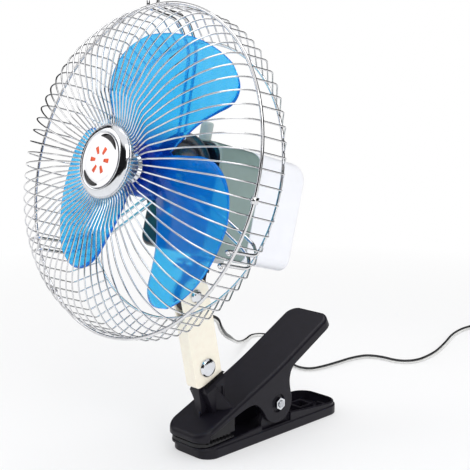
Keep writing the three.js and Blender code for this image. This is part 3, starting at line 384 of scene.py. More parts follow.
def rounded_plan(x0, x1, y0, y1, front, rear, steps=12):
    """A rectangle with its two front corners of one radius and its two rear corners of another."""
    return [*arc(x1 - front, y0 + front, front, -90, 0, steps),
            *arc(x1 - rear, y1 - rear, rear, 0, 90, steps), *arc(x0 + rear, y1 - rear, rear, 90, 180, steps),
            *arc(x0 + front, y0 + front, front, 180, 270, steps)]


def beyond(p, half, y0, y1, radius):
    """True where a point lies outside a rounded rectangle of the plan."""
    past_x = max(abs(p.x) - half + radius, 0)
    past_y = max(p.y - y1 + radius, y0 + radius - p.y, 0)
    return math.hypot(past_x, past_y) > radius


def prism(axis, outline, start, end):
    """A closed outline drawn out along X from (y, z) points, or along Y or Z from (x, z) or (x, y) points."""
    put = {"x": lambda u, w, t: (t, u, w), "y": lambda u, w, t: (u, t, w), "z": lambda u, w, t: (u, w, t)}
    return loft([[Vector(put[axis](p[0], p[1], t)) for p in outline] for t in (start, end)])


def block(x0, x1, y0, y1, z0, z1):
    corners = [(x, y, z) for x in (x0, x1) for y in (y0, y1) for z in (z0, z1)]
    return corners, [[0, 1, 3, 2], [4, 6, 7, 5], [0, 4, 5, 1], [2, 3, 7, 6], [0, 2, 6, 4], [1, 5, 7, 3]]


def moved(shape, matrix):
    points, faces = shape
    return [matrix @ Vector(p) for p in points], faces


def both_sides(shape):
    return [shape, moved(shape, MIRROR)]


def rod(axis, radius, start, end, centre, segments=32):
    """A plain cylinder along an axis, for carving."""
    turn = {"x": Matrix.Rotation(-QUARTER, 4, "Z"), "y": IDENTITY, "z": Matrix.Rotation(QUARTER, 4, "X")}
    cylinder = lathe([(0, start), (radius, start), (radius, end), (0, end)], segments)
    return moved(moved(cylinder, turn[axis]), Matrix.Translation(centre))


def shaped(obj, operation, shapes, place=HEAD):
    """Joins, cuts or intersects a piece with closed shapes in turn and keeps the result as its mesh."""
    for points, faces in shapes:
        mesh = bpy.data.meshes.new("tool")
        mesh.from_pydata([place @ (Vector(p) * MM) for p in points], [], faces)
        outward(mesh)
        tool = placed("tool", mesh)
        step = obj.modifiers.new("shape", "BOOLEAN")
        step.operation, step.solver, step.object = operation, "EXACT", tool
        bpy.context.view_layer.update()
        result = bpy.data.meshes.new_from_object(obj.evaluated_get(bpy.context.evaluated_depsgraph_get()))
        obj.modifiers.remove(step)
        obj.data = result
        bpy.data.objects.remove(tool)
    for polygon in obj.data.polygons:
        polygon.use_smooth = True
    return obj


def flattened(mesh, weld, flat):
    """The mesh for editing, with points within weld metres joined and faces within flat degrees merged."""
    bm = bmesh.new()
    bm.from_mesh(mesh)
    bmesh.ops.remove_doubles(bm, verts=bm.verts, dist=weld)
    bmesh.ops.dissolve_limit(bm, angle_limit=math.radians(flat), verts=bm.verts, edges=bm.edges)
    for face in bm.faces:
        face.smooth = True
    return bm


def even_shading(obj):
    normals = obj.modifiers.new("shading", "WEIGHTED_NORMAL")
    normals.keep_sharp = True
    return obj


HARD_EDGE = math.radians(28)


def edged(obj, width, share, segments=4):
    """Rounds a piece's hard edges, each by share(middle of the edge in millimetres) of the width, and
    leaves those with no share sharp."""
    bm = flattened(obj.data, 5e-6, 0.4)
    weight = bm.edges.layers.float.new("bevel_weight_edge")
    for edge in bm.edges:
        if len(edge.link_faces) == 2 and edge.calc_face_angle(0) > HARD_EDGE:
            edge[weight] = share((edge.verts[0].co + edge.verts[1].co) / (2 * MM))
            edge.smooth = edge[weight] > 0
    bm.to_mesh(obj.data)
    bm.free()
    bevel = obj.modifiers.new("edges", "BEVEL")
    bevel.width, bevel.segments, bevel.limit_method = width * MM, segments, "WEIGHT"
    bevel.use_clamp_overlap = False
    return even_shading(obj)


def softened(obj, width, segments=3, angle=32):
    """Rounds a piece's hard edges and evens its shading."""
    bevel = obj.modifiers.new("edges", "BEVEL")
    bevel.width, bevel.segments = width * MM, segments
    bevel.limit_method, bevel.angle_limit = "ANGLE", math.radians(angle)
    bevel.miter_outer = "MITER_ARC"
    return even_shading(obj)


def dressed(node, look, width, segments=3, angle=32):
    """A CAD node's own form with clean flat faces, rounded edges and a finish."""
    source = frame["nodes"][node]
    obj = placed(f"{node}_form", source.data.copy())
    obj.matrix_world = source.matrix_world
    bm = flattened(obj.data, 2e-6, 0.6)
    bm.to_mesh(obj.data)
    bm.free()
    obj.data.materials.clear()
    obj.data.materials.append(look)
    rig.ride(obj, BODY_OF[node])
    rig.slot(obj, look["slot"])
    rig.replaces(obj, node)
    return softened(obj, width, segments, angle)


# -------- materials
def added(tree, kind, sockets=None, **settings):
    """A new shader node with its settings, and its constants on its own sockets."""
    node = tree.nodes.new(kind)
    for key, value in settings.items():
        setattr(node, key, value)
    for key, value in (sockets or {}).items():
        node.inputs[key].default_value = value
    return node


def joined(tree, *wires):
    """Links, each as (from node, its output, to node, its input)."""
    for source, output, target, socket in wires:
        tree.links.new(source.outputs[output], target.inputs[socket])


def seen_by(tree, *rays):
    """An output that is 1 for the given kinds of ray, else 0."""
    path = added(tree, "ShaderNodeLightPath")
    found = path.outputs[rays[0]]
    for ray in rays[1:]:
        either = added(tree, "ShaderNodeMath", operation="MAXIMUM")
        tree.links.new(found, either.inputs[0])
        tree.links.new(path.outputs[ray], either.inputs[1])
        found = either.outputs["Value"]
    return found


def linear(red, green, blue):
    """A colour written as on a screen, 0 to 255, in Blender's linear values."""
    return [(c / 255 / 12.92 if c / 255 <= 0.04045 else ((c / 255 + 0.055) / 1.055) ** 2.4)
            for c in (red, green, blue)]


def finish(name, colour, roughness, metallic=0.0, shade=0.12, grain=220, bump=0.0, bump_grain=900,
           transmission=0.0, coat=0.0, ior=1.5, smear=0.06, slot=None):
    """A moulded, painted or plated surface: two close shades, uneven gloss and a fine relief."""
    look = bpy.data.materials.new(f"{name}_look")
    look["slot"] = slot or name
    look.use_nodes = True
    tree = look.node_tree
    shader = tree.nodes["Principled BSDF"]
    for socket, value in (("Metallic", metallic), ("IOR", ior), ("Transmission Weight", transmission),
                          ("Coat Weight", coat), ("Coat Roughness", 0.08)):
        shader.inputs[socket].default_value = value
    place = added(tree, "ShaderNodeTexCoord")

    def noise(scale, detail):
        made = added(tree, "ShaderNodeTexNoise", {"Scale": scale, "Detail": detail})
        joined(tree, (place, "Object", made, "Vector"))
        return made

    ramp = added(tree, "ShaderNodeValToRGB")
    darker, lighter = ramp.color_ramp.elements
    darker.position, lighter.position = 0.3, 0.7
    darker.color = [c * (1 - shade) for c in colour] + [1]
    lighter.color = [min(c * (1 + shade), 1) for c in colour] + [1]
    gloss = added(tree, "ShaderNodeMapRange",
                  {"To Min": max(roughness - smear, 0.02), "To Max": roughness + smear})
    joined(tree, (noise(grain, 4), "Fac", ramp, "Fac"), (ramp, "Color", shader, "Base Color"),
           (noise(grain * 0.4, 3), "Fac", gloss, "Value"), (gloss, "Result", shader, "Roughness"))
    if bump:
        relief = added(tree, "ShaderNodeBump", {"Strength": bump, "Distance": 0.0002})
        joined(tree, (noise(bump_grain, 5), "Fac", relief, "Height"), (relief, "Normal", shader, "Normal"))
    return look


# The blades' colours at the hub, a third of the way out and at the tips: the blue is their own, painted deeper at the
# hub as painted shade of the dark housing behind, and paler at the tips as painted light of the white backdrop behind
BLADE_TINT_WITH_PAINTED_SHADE = (linear(20, 90, 206), linear(96, 250, 255), linear(122, 255, 255))
BLADE_BODY = (linear(6, 46, 176), linear(0, 134, 255), linear(0, 152, 255))
BLADE_BODY_SHARE = 0.38
# Radii in metres over which the blades turn from the painted shade at the hub to the painted light at the tips
BLADE_PAINTED_SHADE_REACH = (0.018, 0.098)


def blade_look():
    """Clear blue plastic, with painted light and shade: paler sky blue at the tips, where the white backdrop lies
    behind, and deeper towards the hub, in front of the dark housing.
    """
    look = finish("blade_blue", (1, 1, 1), 0.09, transmission=1.0, ior=1.35, smear=0.03)
    tree = look.node_tree
    clear = tree.nodes["Principled BSDF"]
    place = added(tree, "ShaderNodeTexCoord")
    local = added(tree, "ShaderNodeMapping", {"Location": HEAD.inverted().to_translation(),
                                              "Rotation": HEAD.inverted().to_euler()})
    flat = added(tree, "ShaderNodeVectorMath", {1: (1, 0, 1)}, operation="MULTIPLY")
    out = added(tree, "ShaderNodeVectorMath", operation="LENGTH")
    cloud = added(tree, "ShaderNodeTexNoise", {"Scale": 24})
    uneven = added(tree, "ShaderNodeMath", {1: 0.012}, operation="MULTIPLY_ADD")
    reach = added(tree, "ShaderNodeMapRange",
                  {"From Min": BLADE_PAINTED_SHADE_REACH[0], "From Max": BLADE_PAINTED_SHADE_REACH[1]})
    joined(tree, (place, "Object", local, "Vector"), (local, "Vector", flat, 0), (flat, "Vector", out, 0),
           (place, "Object", cloud, "Vector"), (cloud, "Fac", uneven, 0), (out, "Value", uneven, 2),
           (uneven, "Value", reach, "Value"))

    def by_reach(colours, shader, socket):
        ramp = added(tree, "ShaderNodeValToRGB")
        elements = ramp.color_ramp.elements
        hub, third, tip = [[*colour, 1] for colour in colours]
        elements[0].color, elements[1].color = hub, tip
        elements.new(0.3).color = third
        joined(tree, (reach, "Result", ramp, "Fac"), (ramp, "Color", shader, socket))

    body = added(tree, "ShaderNodeBsdfDiffuse")
    by_reach(BLADE_TINT_WITH_PAINTED_SHADE, clear, "Base Color")
    by_reach(BLADE_BODY, body, "Color")
    mixed = added(tree, "ShaderNodeMixShader", {"Fac": BLADE_BODY_SHARE})
    joined(tree, (clear, "BSDF", mixed, 1), (body, "BSDF", mixed, 2),
           (mixed, "Shader", tree.nodes["Material Output"], "Surface"))
    return look


LOOKS = {look["slot"]: look for look in (
    finish("clip_plastic", linear(24, 22, 30), 0.38, ior=1.32, bump=0.12, bump_grain=2600, grain=160),
    finish("pad_rubber", linear(24, 23, 27), 0.6, bump=0.3, bump_grain=1800),
    finish("zinc_steel", linear(196, 198, 202), 0.34, 1.0, bump=0.05, grain=400),
    finish("bolt_chrome", linear(226, 228, 232), 0.12, 1.0, smear=0.04, shade=0.04),
    finish("wire_chrome", linear(222, 222, 224), 0.08, 1.0, smear=0.03, shade=0.08, grain=140),
    finish("spring_steel", linear(150, 152, 158), 0.3, 1.0, bump=0.1, grain=500),
    finish("bracket_paint", linear(255, 246, 229), 0.38, shade=0.03, bump=0.10,
           bump_grain=1400, coat=0.15),
    blade_look(),
    finish("bearing_brass", linear(190, 160, 96), 0.35, 1.0, bump=0.1),
    finish("commutator_copper", linear(190, 112, 76), 0.35, 1.0, bump=0.1),
    finish("housing_grey", linear(124, 144, 140), 0.2, shade=0.05, grain=90, bump=0.03,
           bump_grain=500, coat=0.3),
    finish("housing_white", linear(239, 240, 245), 0.3, shade=0.015, grain=90, bump=0.03, bump_grain=700),
    finish("magnet_ferrite", linear(58, 58, 62), 0.75, bump=0.3),
    finish("gear_nylon", linear(232, 228, 216), 0.5, bump=0.1),
    finish("knob_grey", linear(178, 190, 188), 0.35, shade=0.04, bump=0.06),
    finish("lead_vinyl", linear(26, 26, 29), 0.38, bump=0.06),
)}
LEAD_WHITE = finish("lead_white", linear(226, 226, 224), 0.4, shade=0.03, bump=0.05)
# Navy as painted shade on the grey housing's front face, its collar and the guard's plate; the housing's own finish is
# housing_grey
SHADE_PAINTED_NAVY = finish("collar_navy", linear(16, 26, 38), 0.22, shade=0.08, coat=0.3, slot="housing_grey")
MOTIF_RED = finish("motif_red", linear(236, 92, 48), 0.35, shade=0.04)
# Dark gloss for the badge's two arcs, which are painted reflections
PAINTED_REFLECTION_DARK = finish("dark_ring", linear(18, 18, 20), 0.16, shade=0.2)
WHITE_ENAMEL = finish("white_enamel", linear(246, 246, 248), 0.16, shade=0.01, coat=0.5,
                      slot="badge_mirror")


# -------- lead
ROUTE = [
    (0, -49.5, 94.4), (0, -45.6, 93.6), (-2, -39.5, 90), (-9, -30, 81.5), (-26, -9.5, 69.5),
    (-49, 18, 56.5), (-83, 56, 39.5), (-122, 98, 21.5), (-148, 129, 9.7), (-161, 147, 4.6),
    (-168.6, 158.9, 2.6),
    *[(x, y, 2.1) for x, y in (
        (-172.4, 165.3), (-174.2, 170), (-174, 174.9), (-171.7, 179.1), (-167.6, 181.7), (-162.8, 181.8),
        (-158.3, 179.8), (-152.4, 175.2), (-142, 167), (-124, 153), (-99, 138), (-80, 128.5), (-69, 127.5),
        (-62, 133), (-59, 147), (-58, 163), (-57, 182), (-52, 197), (-40, 203), (-27, 204), (-18, 208),
        (-12.5, 217), (-11.5, 230), (-15, 253), (-24, 281), (-36, 313), (-41, 338), (-39.8, 362),
        (-39.6, 369.6))],
]
COIL = {"x": -10, "y": 370, "outer": 29.6, "pitch": 4.3, "turns": 8.25, "low": 2.1, "steps": 48}
TAIL = [(6, 0.2, 7), (12, 0, 8.8), (18, 0, 10), (22, 0, 10.4), (26, 0, 10.4)]
CORE_RADIUS, CORE_OFFSET = 0.98, 0.95
PLUG_GAP, PLUG_AXIS = 0.3, 0.0105


def coil_line():
    """A flat winding in two layers: inward on the ground, and out again on top of itself."""
    line = []
    for i in range(int(COIL["steps"] * COIL["turns"]) + 1):
        turn = i / COIL["steps"]
        inward = min(turn, COIL["turns"] - turn)
        climb = min(max((turn - COIL["turns"] / 2) * 2 + 0.5, 0), 1)
        angle = math.pi - turn * FULL_TURN
        radius = COIL["outer"] - COIL["pitch"] * inward
        line.append(Vector((COIL["x"] + radius * math.cos(angle), COIL["y"] + radius * math.sin(angle),
                            COIL["low"] + COIL["pitch"] * climb)))
    return line


def lead():
    """A flat twin: a black and a white core side by side. It lies flat or rolls over as it goes, and
    is wound on its edge in the coil. The upper end follows the clip's lever."""
    route, winding = through(ROUTE, 8), coil_line()
    end = winding[-1]
    tail = through([end, *[(end.x + x, end.y + y, z) for x, y, z in TAIL]], 6)
    line = route[:-1] + winding[:-1] + tail
    along, rolls = 0.0, []
    for i, point in enumerate(line):
        along += (point - line[max(i - 1, 0)]).length
        settled = min(max((i - len(route) + 41) / 60, 0), 1)
        roll = 1.25 + 0.8 * math.sin(along / 62 + 0.6) + 0.3 * math.sin(along / 27)
        rolls.append(roll * (1 - settled) + QUARTER * settled)
    build = Build()
    tangents = directions(line)
    for look, side in ((0, CORE_OFFSET), (1, -CORE_OFFSET)):
        core = []
        for point, tangent, roll in zip(line, tangents, rolls):
            across = Vector((0, 0, 1)).cross(tangent).normalized()
            upward = tangent.cross(across)
            core.append(point + (across * math.cos(roll) + upward * math.sin(roll)) * side)
        build.add(tube(core, CORE_RADIUS, 10), look)
    obj = build.piece("lead", None, [LOOKS["lead_vinyl"], LEAD_WHITE], ["cord", "cord_coil"], IDENTITY)
    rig.blend(obj, "clip_lever", "clip_base", start=(0, 0, 0.0935), end=(0, 0, 0.013))
    path = [tuple(p * MM) for p in line]
    length = sum((Vector(b) - Vector(a)).length for a, b in zip(path, path[1:]))
    return obj, path, length


def plug_pieces():
    """The car plug at the lead's end: a ribbed boot and a two-part body with a grip."""
    end = coil_line()[-1]
    place = Matrix.Translation(((end.x + TAIL[-1][0] + PLUG_GAP) * MM, end.y * MM, PLUG_AXIS))
    place = place @ Matrix.Rotation(-QUARTER, 4, "Z")
    ribs = []
    for i in range(5):
        y = 3 + i * 1.9
        r = 3.2 + 0.055 * y
        ribs += [(r - 0.5, y), (r, y + 0.3), (r, y + 1.1), (r - 0.5, y + 1.4)]
    boot = Build().add(turned([(0, 0.05), (2.5, 0.05), (2.7, 1.6), *ribs, (3.6, 12.65), (0, 12.65)], 0.3, 32))
    boot_piece = boot.piece("plug_boot_form", "clip_base", [LOOKS["lead_vinyl"]], ["plug_boot"], place)
    waist, grip = 10.35, []
    for i in range(6):
        y = 19.6 + i * 2.2
        grip += [(waist, y), (waist, y + 1.1), (waist - 0.5, y + 1.35), (waist - 0.5, y + 1.95)]
    body = Build().add(turned([
        (0, 13.05), (6.3, 13.05), (8.9, 15), (waist, 18.6), *grip, (waist, 33), (9.55, 34.6), (9.55, 53),
        (7.6, 59.9), (5, 61.5), (3.3, 61.55), (3.3, 56), (0, 56)], 0.6, 72))
    body_piece = body.piece("plug_body_form", "clip_base", [LOOKS["lead_vinyl"]], ["plug_body"], place)
    slots = [block(6.4, 14, 37, 51, -2.4, 2.4), block(-14, -6.4, 37, 51, -2.4, 2.4)]
    shaped(body_piece, "DIFFERENCE", slots, place)
    softened(body_piece, 0.25, 2, 50)
    return [boot_piece, body_piece]


def grommet():
    """Ribbed strain relief in the bracket's open back."""
    ribs = []
    for i in range(4):
        y = -8.6 + i * 1.7
        ribs += [(3.15, y), (3.15, y + 0.9), (2.75, y + 1.1), (2.75, y + 1.5)]
    build = Build().add(turned([
        (0, -9.95), (2.9, -9.95), (3.15, -9.4), *ribs, (2.7, -1.4), (2.3, 0), (0, 0)], 0.2, 32))
    place = Matrix.Translation((0, -0.0498, 0.0945)) @ Matrix.Rotation(math.radians(-12), 4, "X")
    return build.piece("grommet_form", "clip_lever", [LOOKS["lead_vinyl"]], ["cord_grommet"], place)


# -------- guard
# One wire of the cage, from the hub ring over the hoop to the rear ring, as (radius, depth), and the
# radius of each of its bends
WIRE_LINE = [(23.2, 24), (27.6, 24), (44.5, 30.6), (72, 29.8), (92.5, 21.6), (104.8, 7.5), (107.4, -20.4),
             (92, -36.2)]
WIRE_BENDS = [2, 3, 20, 14, 12, 2.6]
WIRES, WIRE_RADIUS = 72, 0.52
ARM_PAIRS = (-25, 95, 215)
ARM_HALF_ANGLE, ARM_RADIUS = 2.5, 1.1


def ring(radius, depth, wire, steps, sides):
    return tube(circle_line(radius, depth, steps), wire, sides, closed=True)


def guard():
    """The bent wires, welded to a hub ring and a rear ring, and the main hoop."""
    build = Build()
    one = tube(rounded([(r, -depth, 0) for r, depth in WIRE_LINE], WIRE_BENDS, 5), WIRE_RADIUS, 8)
    for k in range(WIRES):
        build.add(one, turn=Matrix.Rotation(-math.radians(k * 360 / WIRES), 4, "Y"))
    build.add(ring(22.4, 24, 1.0, 96, 10))
    build.add(ring(91.6, -36.2, 0.95, 144, 10))
    build.piece("guard_wires", "head", [LOOKS["wire_chrome"]], ["guard_cage"])
    Build().add(ring(107.35, 0, 1.05, 180, 14)).piece(
        "guard_hoop_form", "head", [LOOKS["wire_chrome"]], ["guard_hoop"])


def support():
    """The plate in front of the motor, navy as painted shade, its three pairs of bent arms and the clips on the hoop.
    """
    plate = Build().add(turned([(13.1, 34.85), (30.6, 34.85), (31.4, 35.5), (31.4, 36.25), (13.1, 36.25),
                                (13.1, 34.85)], 0.3, 96))
    plate.piece("guard_plate_form", "head", [SHADE_PAINTED_NAVY], ["guard_support"])
    build = Build()
    for middle in ARM_PAIRS:
        for side in (-1, 1):
            angle = middle + side * ARM_HALF_ANGLE
            line = [radial(middle, 27, -35.13, side * 3), radial(angle, 80, -35.13), radial(angle, 88, -34),
                    radial(angle, 101, -24.5), radial(angle, 104, -19), radial(angle, 104.2, 2),
                    radial(angle, 105.6, 4.6), radial(angle, 108.4, 5.1)]
            build.add(tube(rounded(line, (3, 4, 4, 4, 2, 1.5), 5), ARM_RADIUS, 12))
    build.piece("guard_support_form", "head", [LOOKS["wire_chrome"]], ["guard_support"])
    strip = [*arc(107.5, 0, 2.3, -115, 115, 20), *arc(107.5, 0, 1.8, 115, -115, 20)]
    for i, middle in enumerate(ARM_PAIRS):
        c, s = math.cos(math.radians(middle)), math.sin(math.radians(middle))
        rings = [[Vector((across * c + r * s, y, r * c - across * s)) for r, y in strip]
                 for across in (-2, 2)]
        name = f"hoop_clip_{i + 1}"
        Build().add(loft(rings)).piece(f"{name}_form", "head", [LOOKS["wire_chrome"]], [name])


# -------- badge
CAP_PROFILE = [(0, -25.05), (23.45, -25.05), (23.45, -26.1), (22.3, -27.7), (20.2, -28.95), (18.4, -29.45),
               (17.7, -29.1), (17.4, -28.85), (0, -28.85)]
FACE_PROFILE = [(0, -29.15), (17.15, -29.15), (17.15, -29.45), (16.4, -29.6), (14.6, -29.42),
                (13.2, -29.62), (12.6, -29.7), (0, -29.82)]
BAR = [(4.1, -0.95, 0), (8.9, -1.5, 0), (8.9, 1.5, 0), (4.1, 0.95, 0), (4.1, -0.95, 0)]
BARS = 6
BAR_DEPTHS, ARC_DEPTHS = (-29.6, -29.87), (-29.42, -29.66)
# Two dark arcs on the disc's rim, painted reflections of the chrome ring, as (first angle, last angle)
PAINTED_REFLECTION_ARCS = ((-12, 62), (172, 242))
ARC_RADIUS, ARC_HALF_WIDTH, ARC_STEPS = 15.3, 1.6, 32


def badge():
    """A chromed cap with a stepped rim round a white disc with a plain motif of short bars, and two dark arcs on the
    disc's rim that are painted reflections of the chrome.
    """
    cap = Build().add(turned(CAP_PROFILE, 0.7, 128, 4))
    cap.piece("badge_cap_form", "head", [LOOKS["bolt_chrome"]], ["badge_cap"])
    face = Build().add(turned(FACE_PROFILE, 0.3, 128, 3))
    outline = rounded(BAR, 0.7, 4)[:-1]
    for i in range(BARS):
        c, s = math.cos(FULL_TURN * i / BARS), math.sin(FULL_TURN * i / BARS)
        rings = [[Vector((p.x * c - p.y * s, y, p.x * s + p.y * c)) for p in outline] for y in BAR_DEPTHS]
        face.add(loft(rings), 1)
    # The two painted reflections: dark arcs on the disc's rim
    back, front = ARC_DEPTHS
    for start, end in PAINTED_REFLECTION_ARCS:
        rings = []
        for i in range(ARC_STEPS + 1):
            angle = math.radians(start + (end - start) * i / ARC_STEPS)
            wide = ARC_HALF_WIDTH * math.sin(math.pi * i / ARC_STEPS) ** 0.6 + 0.05
            inner, outer = ARC_RADIUS - wide, ARC_RADIUS + wide
            rings.append([Vector((r * math.sin(angle), y, r * math.cos(angle)))
                          for r, y in ((inner, back), (inner, front), (outer, front), (outer, back))])
        face.add(loft(rings), 2)
    face.piece("badge_face_form", "head", [WHITE_ENAMEL, MOTIF_RED, PAINTED_REFLECTION_DARK], ["badge_face"])


# -------- impeller
# Rows of a blade from root to tip, as (radius, first angle, last angle)
BLADE_ROWS = [(14, -33, 62), (30, -35, 56), (48, -38, 50), (62, -42, 47), (75, -44.5, 41), (85, -40.5, 31),
              (90, -30, 18)]
BLADES, FIRST_BLADE, BLADE_COLUMNS = 3, 84, 40
BLADE_THICK, EDGE_WIDTH = 1.5, 0.9
CAMBER_DEPTH, CAMBER_RISE, CAMBER_PACE = -8.4, 9.6 * 0.98, 80 / 52


def blade(middle):
    """One blade: a swept, cambered sheet that thins to a rounded edge."""
    rows = through(BLADE_ROWS, 6)
    count, columns = len(rows), BLADE_COLUMNS + 1
    points = []
    for side in (1, -1):
        for i, row in enumerate(rows):
            width = row.x * math.radians(row.z - row.y)
            for k in range(columns):
                share = k / BLADE_COLUMNS
                angle = row.y + (row.z - row.y) * share
                edge = 0 if i == count - 1 else min(share * width, (1 - share) * width, rows[-1].x - row.x)
                thin = math.sqrt(max(1 - (1 - min(edge / EDGE_WIDTH, 1)) ** 2, 0))
                depth = CAMBER_DEPTH + CAMBER_RISE * math.sin(math.radians(angle * CAMBER_PACE))
                points.append(radial(middle + angle, row.x, depth + side * thin * BLADE_THICK / 2))
    layer = count * columns
    faces = []
    for first in (0, layer):
        for i in range(count - 1):
            for k in range(BLADE_COLUMNS):
                a = first + i * columns + k
                faces.append([a, a + 1, a + columns + 1, a + columns])
    faces += [[k, k + 1, layer + k + 1, layer + k] for k in range(BLADE_COLUMNS)]
    return points, faces


def impeller():
    """The blades on their cup-shaped hub."""
    build = Build()
    for k in range(BLADES):
        build.add(blade(FIRST_BLADE + k * 360 / BLADES))
    build.add(turned([(1.95, -2.95), (11, -2.95), (15, -1.6), (16.95, 1.4), (16.95, 19.95), (15.05, 19.95),
                      (14.6, 2.4), (5, 0.4), (5, 17), (1.95, 17), (1.95, -2.95)], 0.8, 72))
    build.piece("impeller_form", "rotor", [LOOKS["blade_blue"]], ["impeller"])


# -------- motor housing
HOUSING_HALF, HOUSING_TOP, HOUSING_BOTTOM = 32, 28.5, -47
LOW_CORNER, HIGH_CORNER, LEAST_CORNER = 8, 14, 1.2
CORNER_STEPS, EDGE_STEPS = 10, 8
END_INSET = 8
GREY_SHELL = {"rim": 79.85, "end": 40.05, "inset": 0, "corner": 3.5, "wall": 2}
WHITE_SHELL = {"rim": 80.15, "end": 127, "inset": -0.4, "corner": 5.5, "wall": 2}
# Faces of the grey half in front of this depth along the head, in metres, take the navy painted shade
SHADE_PAINTED_FRONT = 0.0412
KNOB_PLACE = Matrix.Translation((-14, 66, 0)) @ Matrix.Rotation(QUARTER, 4, "X")


def housing_ring(y, inset):
    """The housing's outline: a flat bottom with tight corners and a broad rounded top."""
    low, high = max(LOW_CORNER - inset * 0.8, LEAST_CORNER), max(HIGH_CORNER - inset, LEAST_CORNER)
    x, top, bottom = HOUSING_HALF - inset, HOUSING_TOP - inset, HOUSING_BOTTOM + inset
    outline = []
    for cx, cz, radius, start in ((x - low, bottom + low, low, -90), (x - high, top - high, high, 0),
                                  (high - x, top - high, high, 90), (low - x, bottom + low, low, 180)):
        outline += [Vector((u, y, w)) for u, w in arc(cx, cz, radius, start, start + 90, CORNER_STEPS)]
    return outline


def shell(rim, end, inset, corner, wall):
    """A cup of even wall with its mouth at rim and its rounded closed end at `end`."""
    way = 1 if end > rim else -1
    turns = [math.radians(i * 90 / EDGE_STEPS) for i in range(EDGE_STEPS + 1)]
    outer = [(end - way * corner * (1 - math.sin(a)), inset + corner * (1 - math.cos(a))) for a in turns]
    outer = [(rim, inset), *outer, (end, inset + corner + END_INSET)]
    size = max(corner - wall, 0.5)
    inner = [(end - way * (wall + size * (1 - math.sin(a))), inset + wall + size * (1 - math.cos(a)))
             for a in turns[::-2]]
    inner = [(end - way * wall, inset + corner + END_INSET), *inner, (rim, inset + wall)]
    points, faces = loft([housing_ring(*at) for at in outer])
    faces.pop(-2)
    inside, lining = loft([housing_ring(*at) for at in inner])
    lining.pop(-1)
    first, sides = len(points), 4 * (CORNER_STEPS + 1)
    last = first + len(inside) - sides
    faces += [[first + i for i in face] for face in lining]
    faces += [[k, (k + 1) % sides, last + (k + 1) % sides, last + k] for k in range(sides)]
    return points + inside, faces


def housing():
    """The grey and white halves, the collar behind the rotor, and the knob with its seat; the grey half's front face
    and the collar take navy as painted shade.
    """
    grey = Build().add(shell(**GREY_SHELL)).piece(
        "housing_front_form", "head", [LOOKS["housing_grey"], SHADE_PAINTED_NAVY], ["housing_front"])
    # The grey half's front face, towards the rotor, takes the navy painted shade
    for polygon in grey.data.polygons:
        polygon.material_index = int((HEAD.inverted() @ polygon.center).y < SHADE_PAINTED_FRONT)
    shaped(grey, "DIFFERENCE", [rod("y", 4.3, 20, 60, (0, 0, 0)), rod("z", 5.4, -60, -40, (0, 68, 0)),
                                rod("z", 4.9, 20, 40, (-14, 66, 0))])
    softened(grey, 0.3, 2, 50)
    collar = Build().add(turned([(8, 36.65), (26.6, 36.65), (28.45, 38.4), (28.45, 40.6), (8, 40.6),
                                 (8, 36.65)], 0.8, 96))
    collar.piece("housing_collar", "head", [SHADE_PAINTED_NAVY], ["housing_front"])
    seat = turned([(5, 27.6), (9.35, 27.6), (9.3, 28.6), (7.6, 30.2), (6.6, 32.1), (5, 32.1), (5, 27.6)],
                  0.5, 48)
    Build().add(seat, turn=KNOB_PLACE).piece("knob_seat", "head", [LOOKS["housing_grey"]], ["housing_front"])
    white = Build().add(shell(**WHITE_SHELL)).piece(
        "housing_rear_form", "head", [LOOKS["housing_white"]], ["housing_rear"])
    shaped(white, "DIFFERENCE", [block(-9.5, 9.5, 121, 130, -38.6, -27.4)])
    softened(white, 0.3, 2, 50)
    knob = turned([(0, 33.5), (1.95, 33.5), (1.95, 28.1), (4.35, 28.1), (4.35, 43.4), (3.6, 44.5),
                   (0, 44.55)], 0.5, 48)
    Build().add(knob, turn=KNOB_PLACE).piece(
        "clutch_knob_form", "clutch_knob", [LOOKS["knob_grey"]], ["clutch_knob"])


# -------- clip
PIVOT_HOLE, PIVOT_SEAT, CHEEK_RADIUS = 2.75, 6.6, 14.8
JAW_HALF, HOLLOW_HALF = 20.2, 17.6
# The lever's top, its line behind the cheeks and the arch in front of them, as (y, z)
LEVER_TOP = [(-75.5, 18.2), (-1.9, 49.4), (57.9, 81.2)]
LEVER_WAIST = [(17.6, 50.4), (14.2, 46.6), (12.6, 41.2), (12.7, 36), (13.6, 31.2)]
LEVER_ARCH = [(-13.7, 19.5), (-17.1, 24.1), (-20.2, 27.2), (-24.3, 29.3), (-32.4, 28.8), (-49.2, 23.6)]
LEVER_HOLLOW = [(-69, 10), (-69, 17.6), (-2.6, 46), (57.2, 77.2), (60.4, 69), (40, 40), (20, 5), (-60, 5)]
LEVER_SLOPE = math.atan2(31.8, 59.8)


def clip_piece(shape, name, node, body="clip_lever"):
    return Build().add(shape).piece(name, body, [LOOKS["clip_plastic"]], [node], IDENTITY)


def pivot_rod(radius, start, end, segments=32):
    return rod("x", radius, start, end, (0, PIVOT_Y, PIVOT_Z), segments)


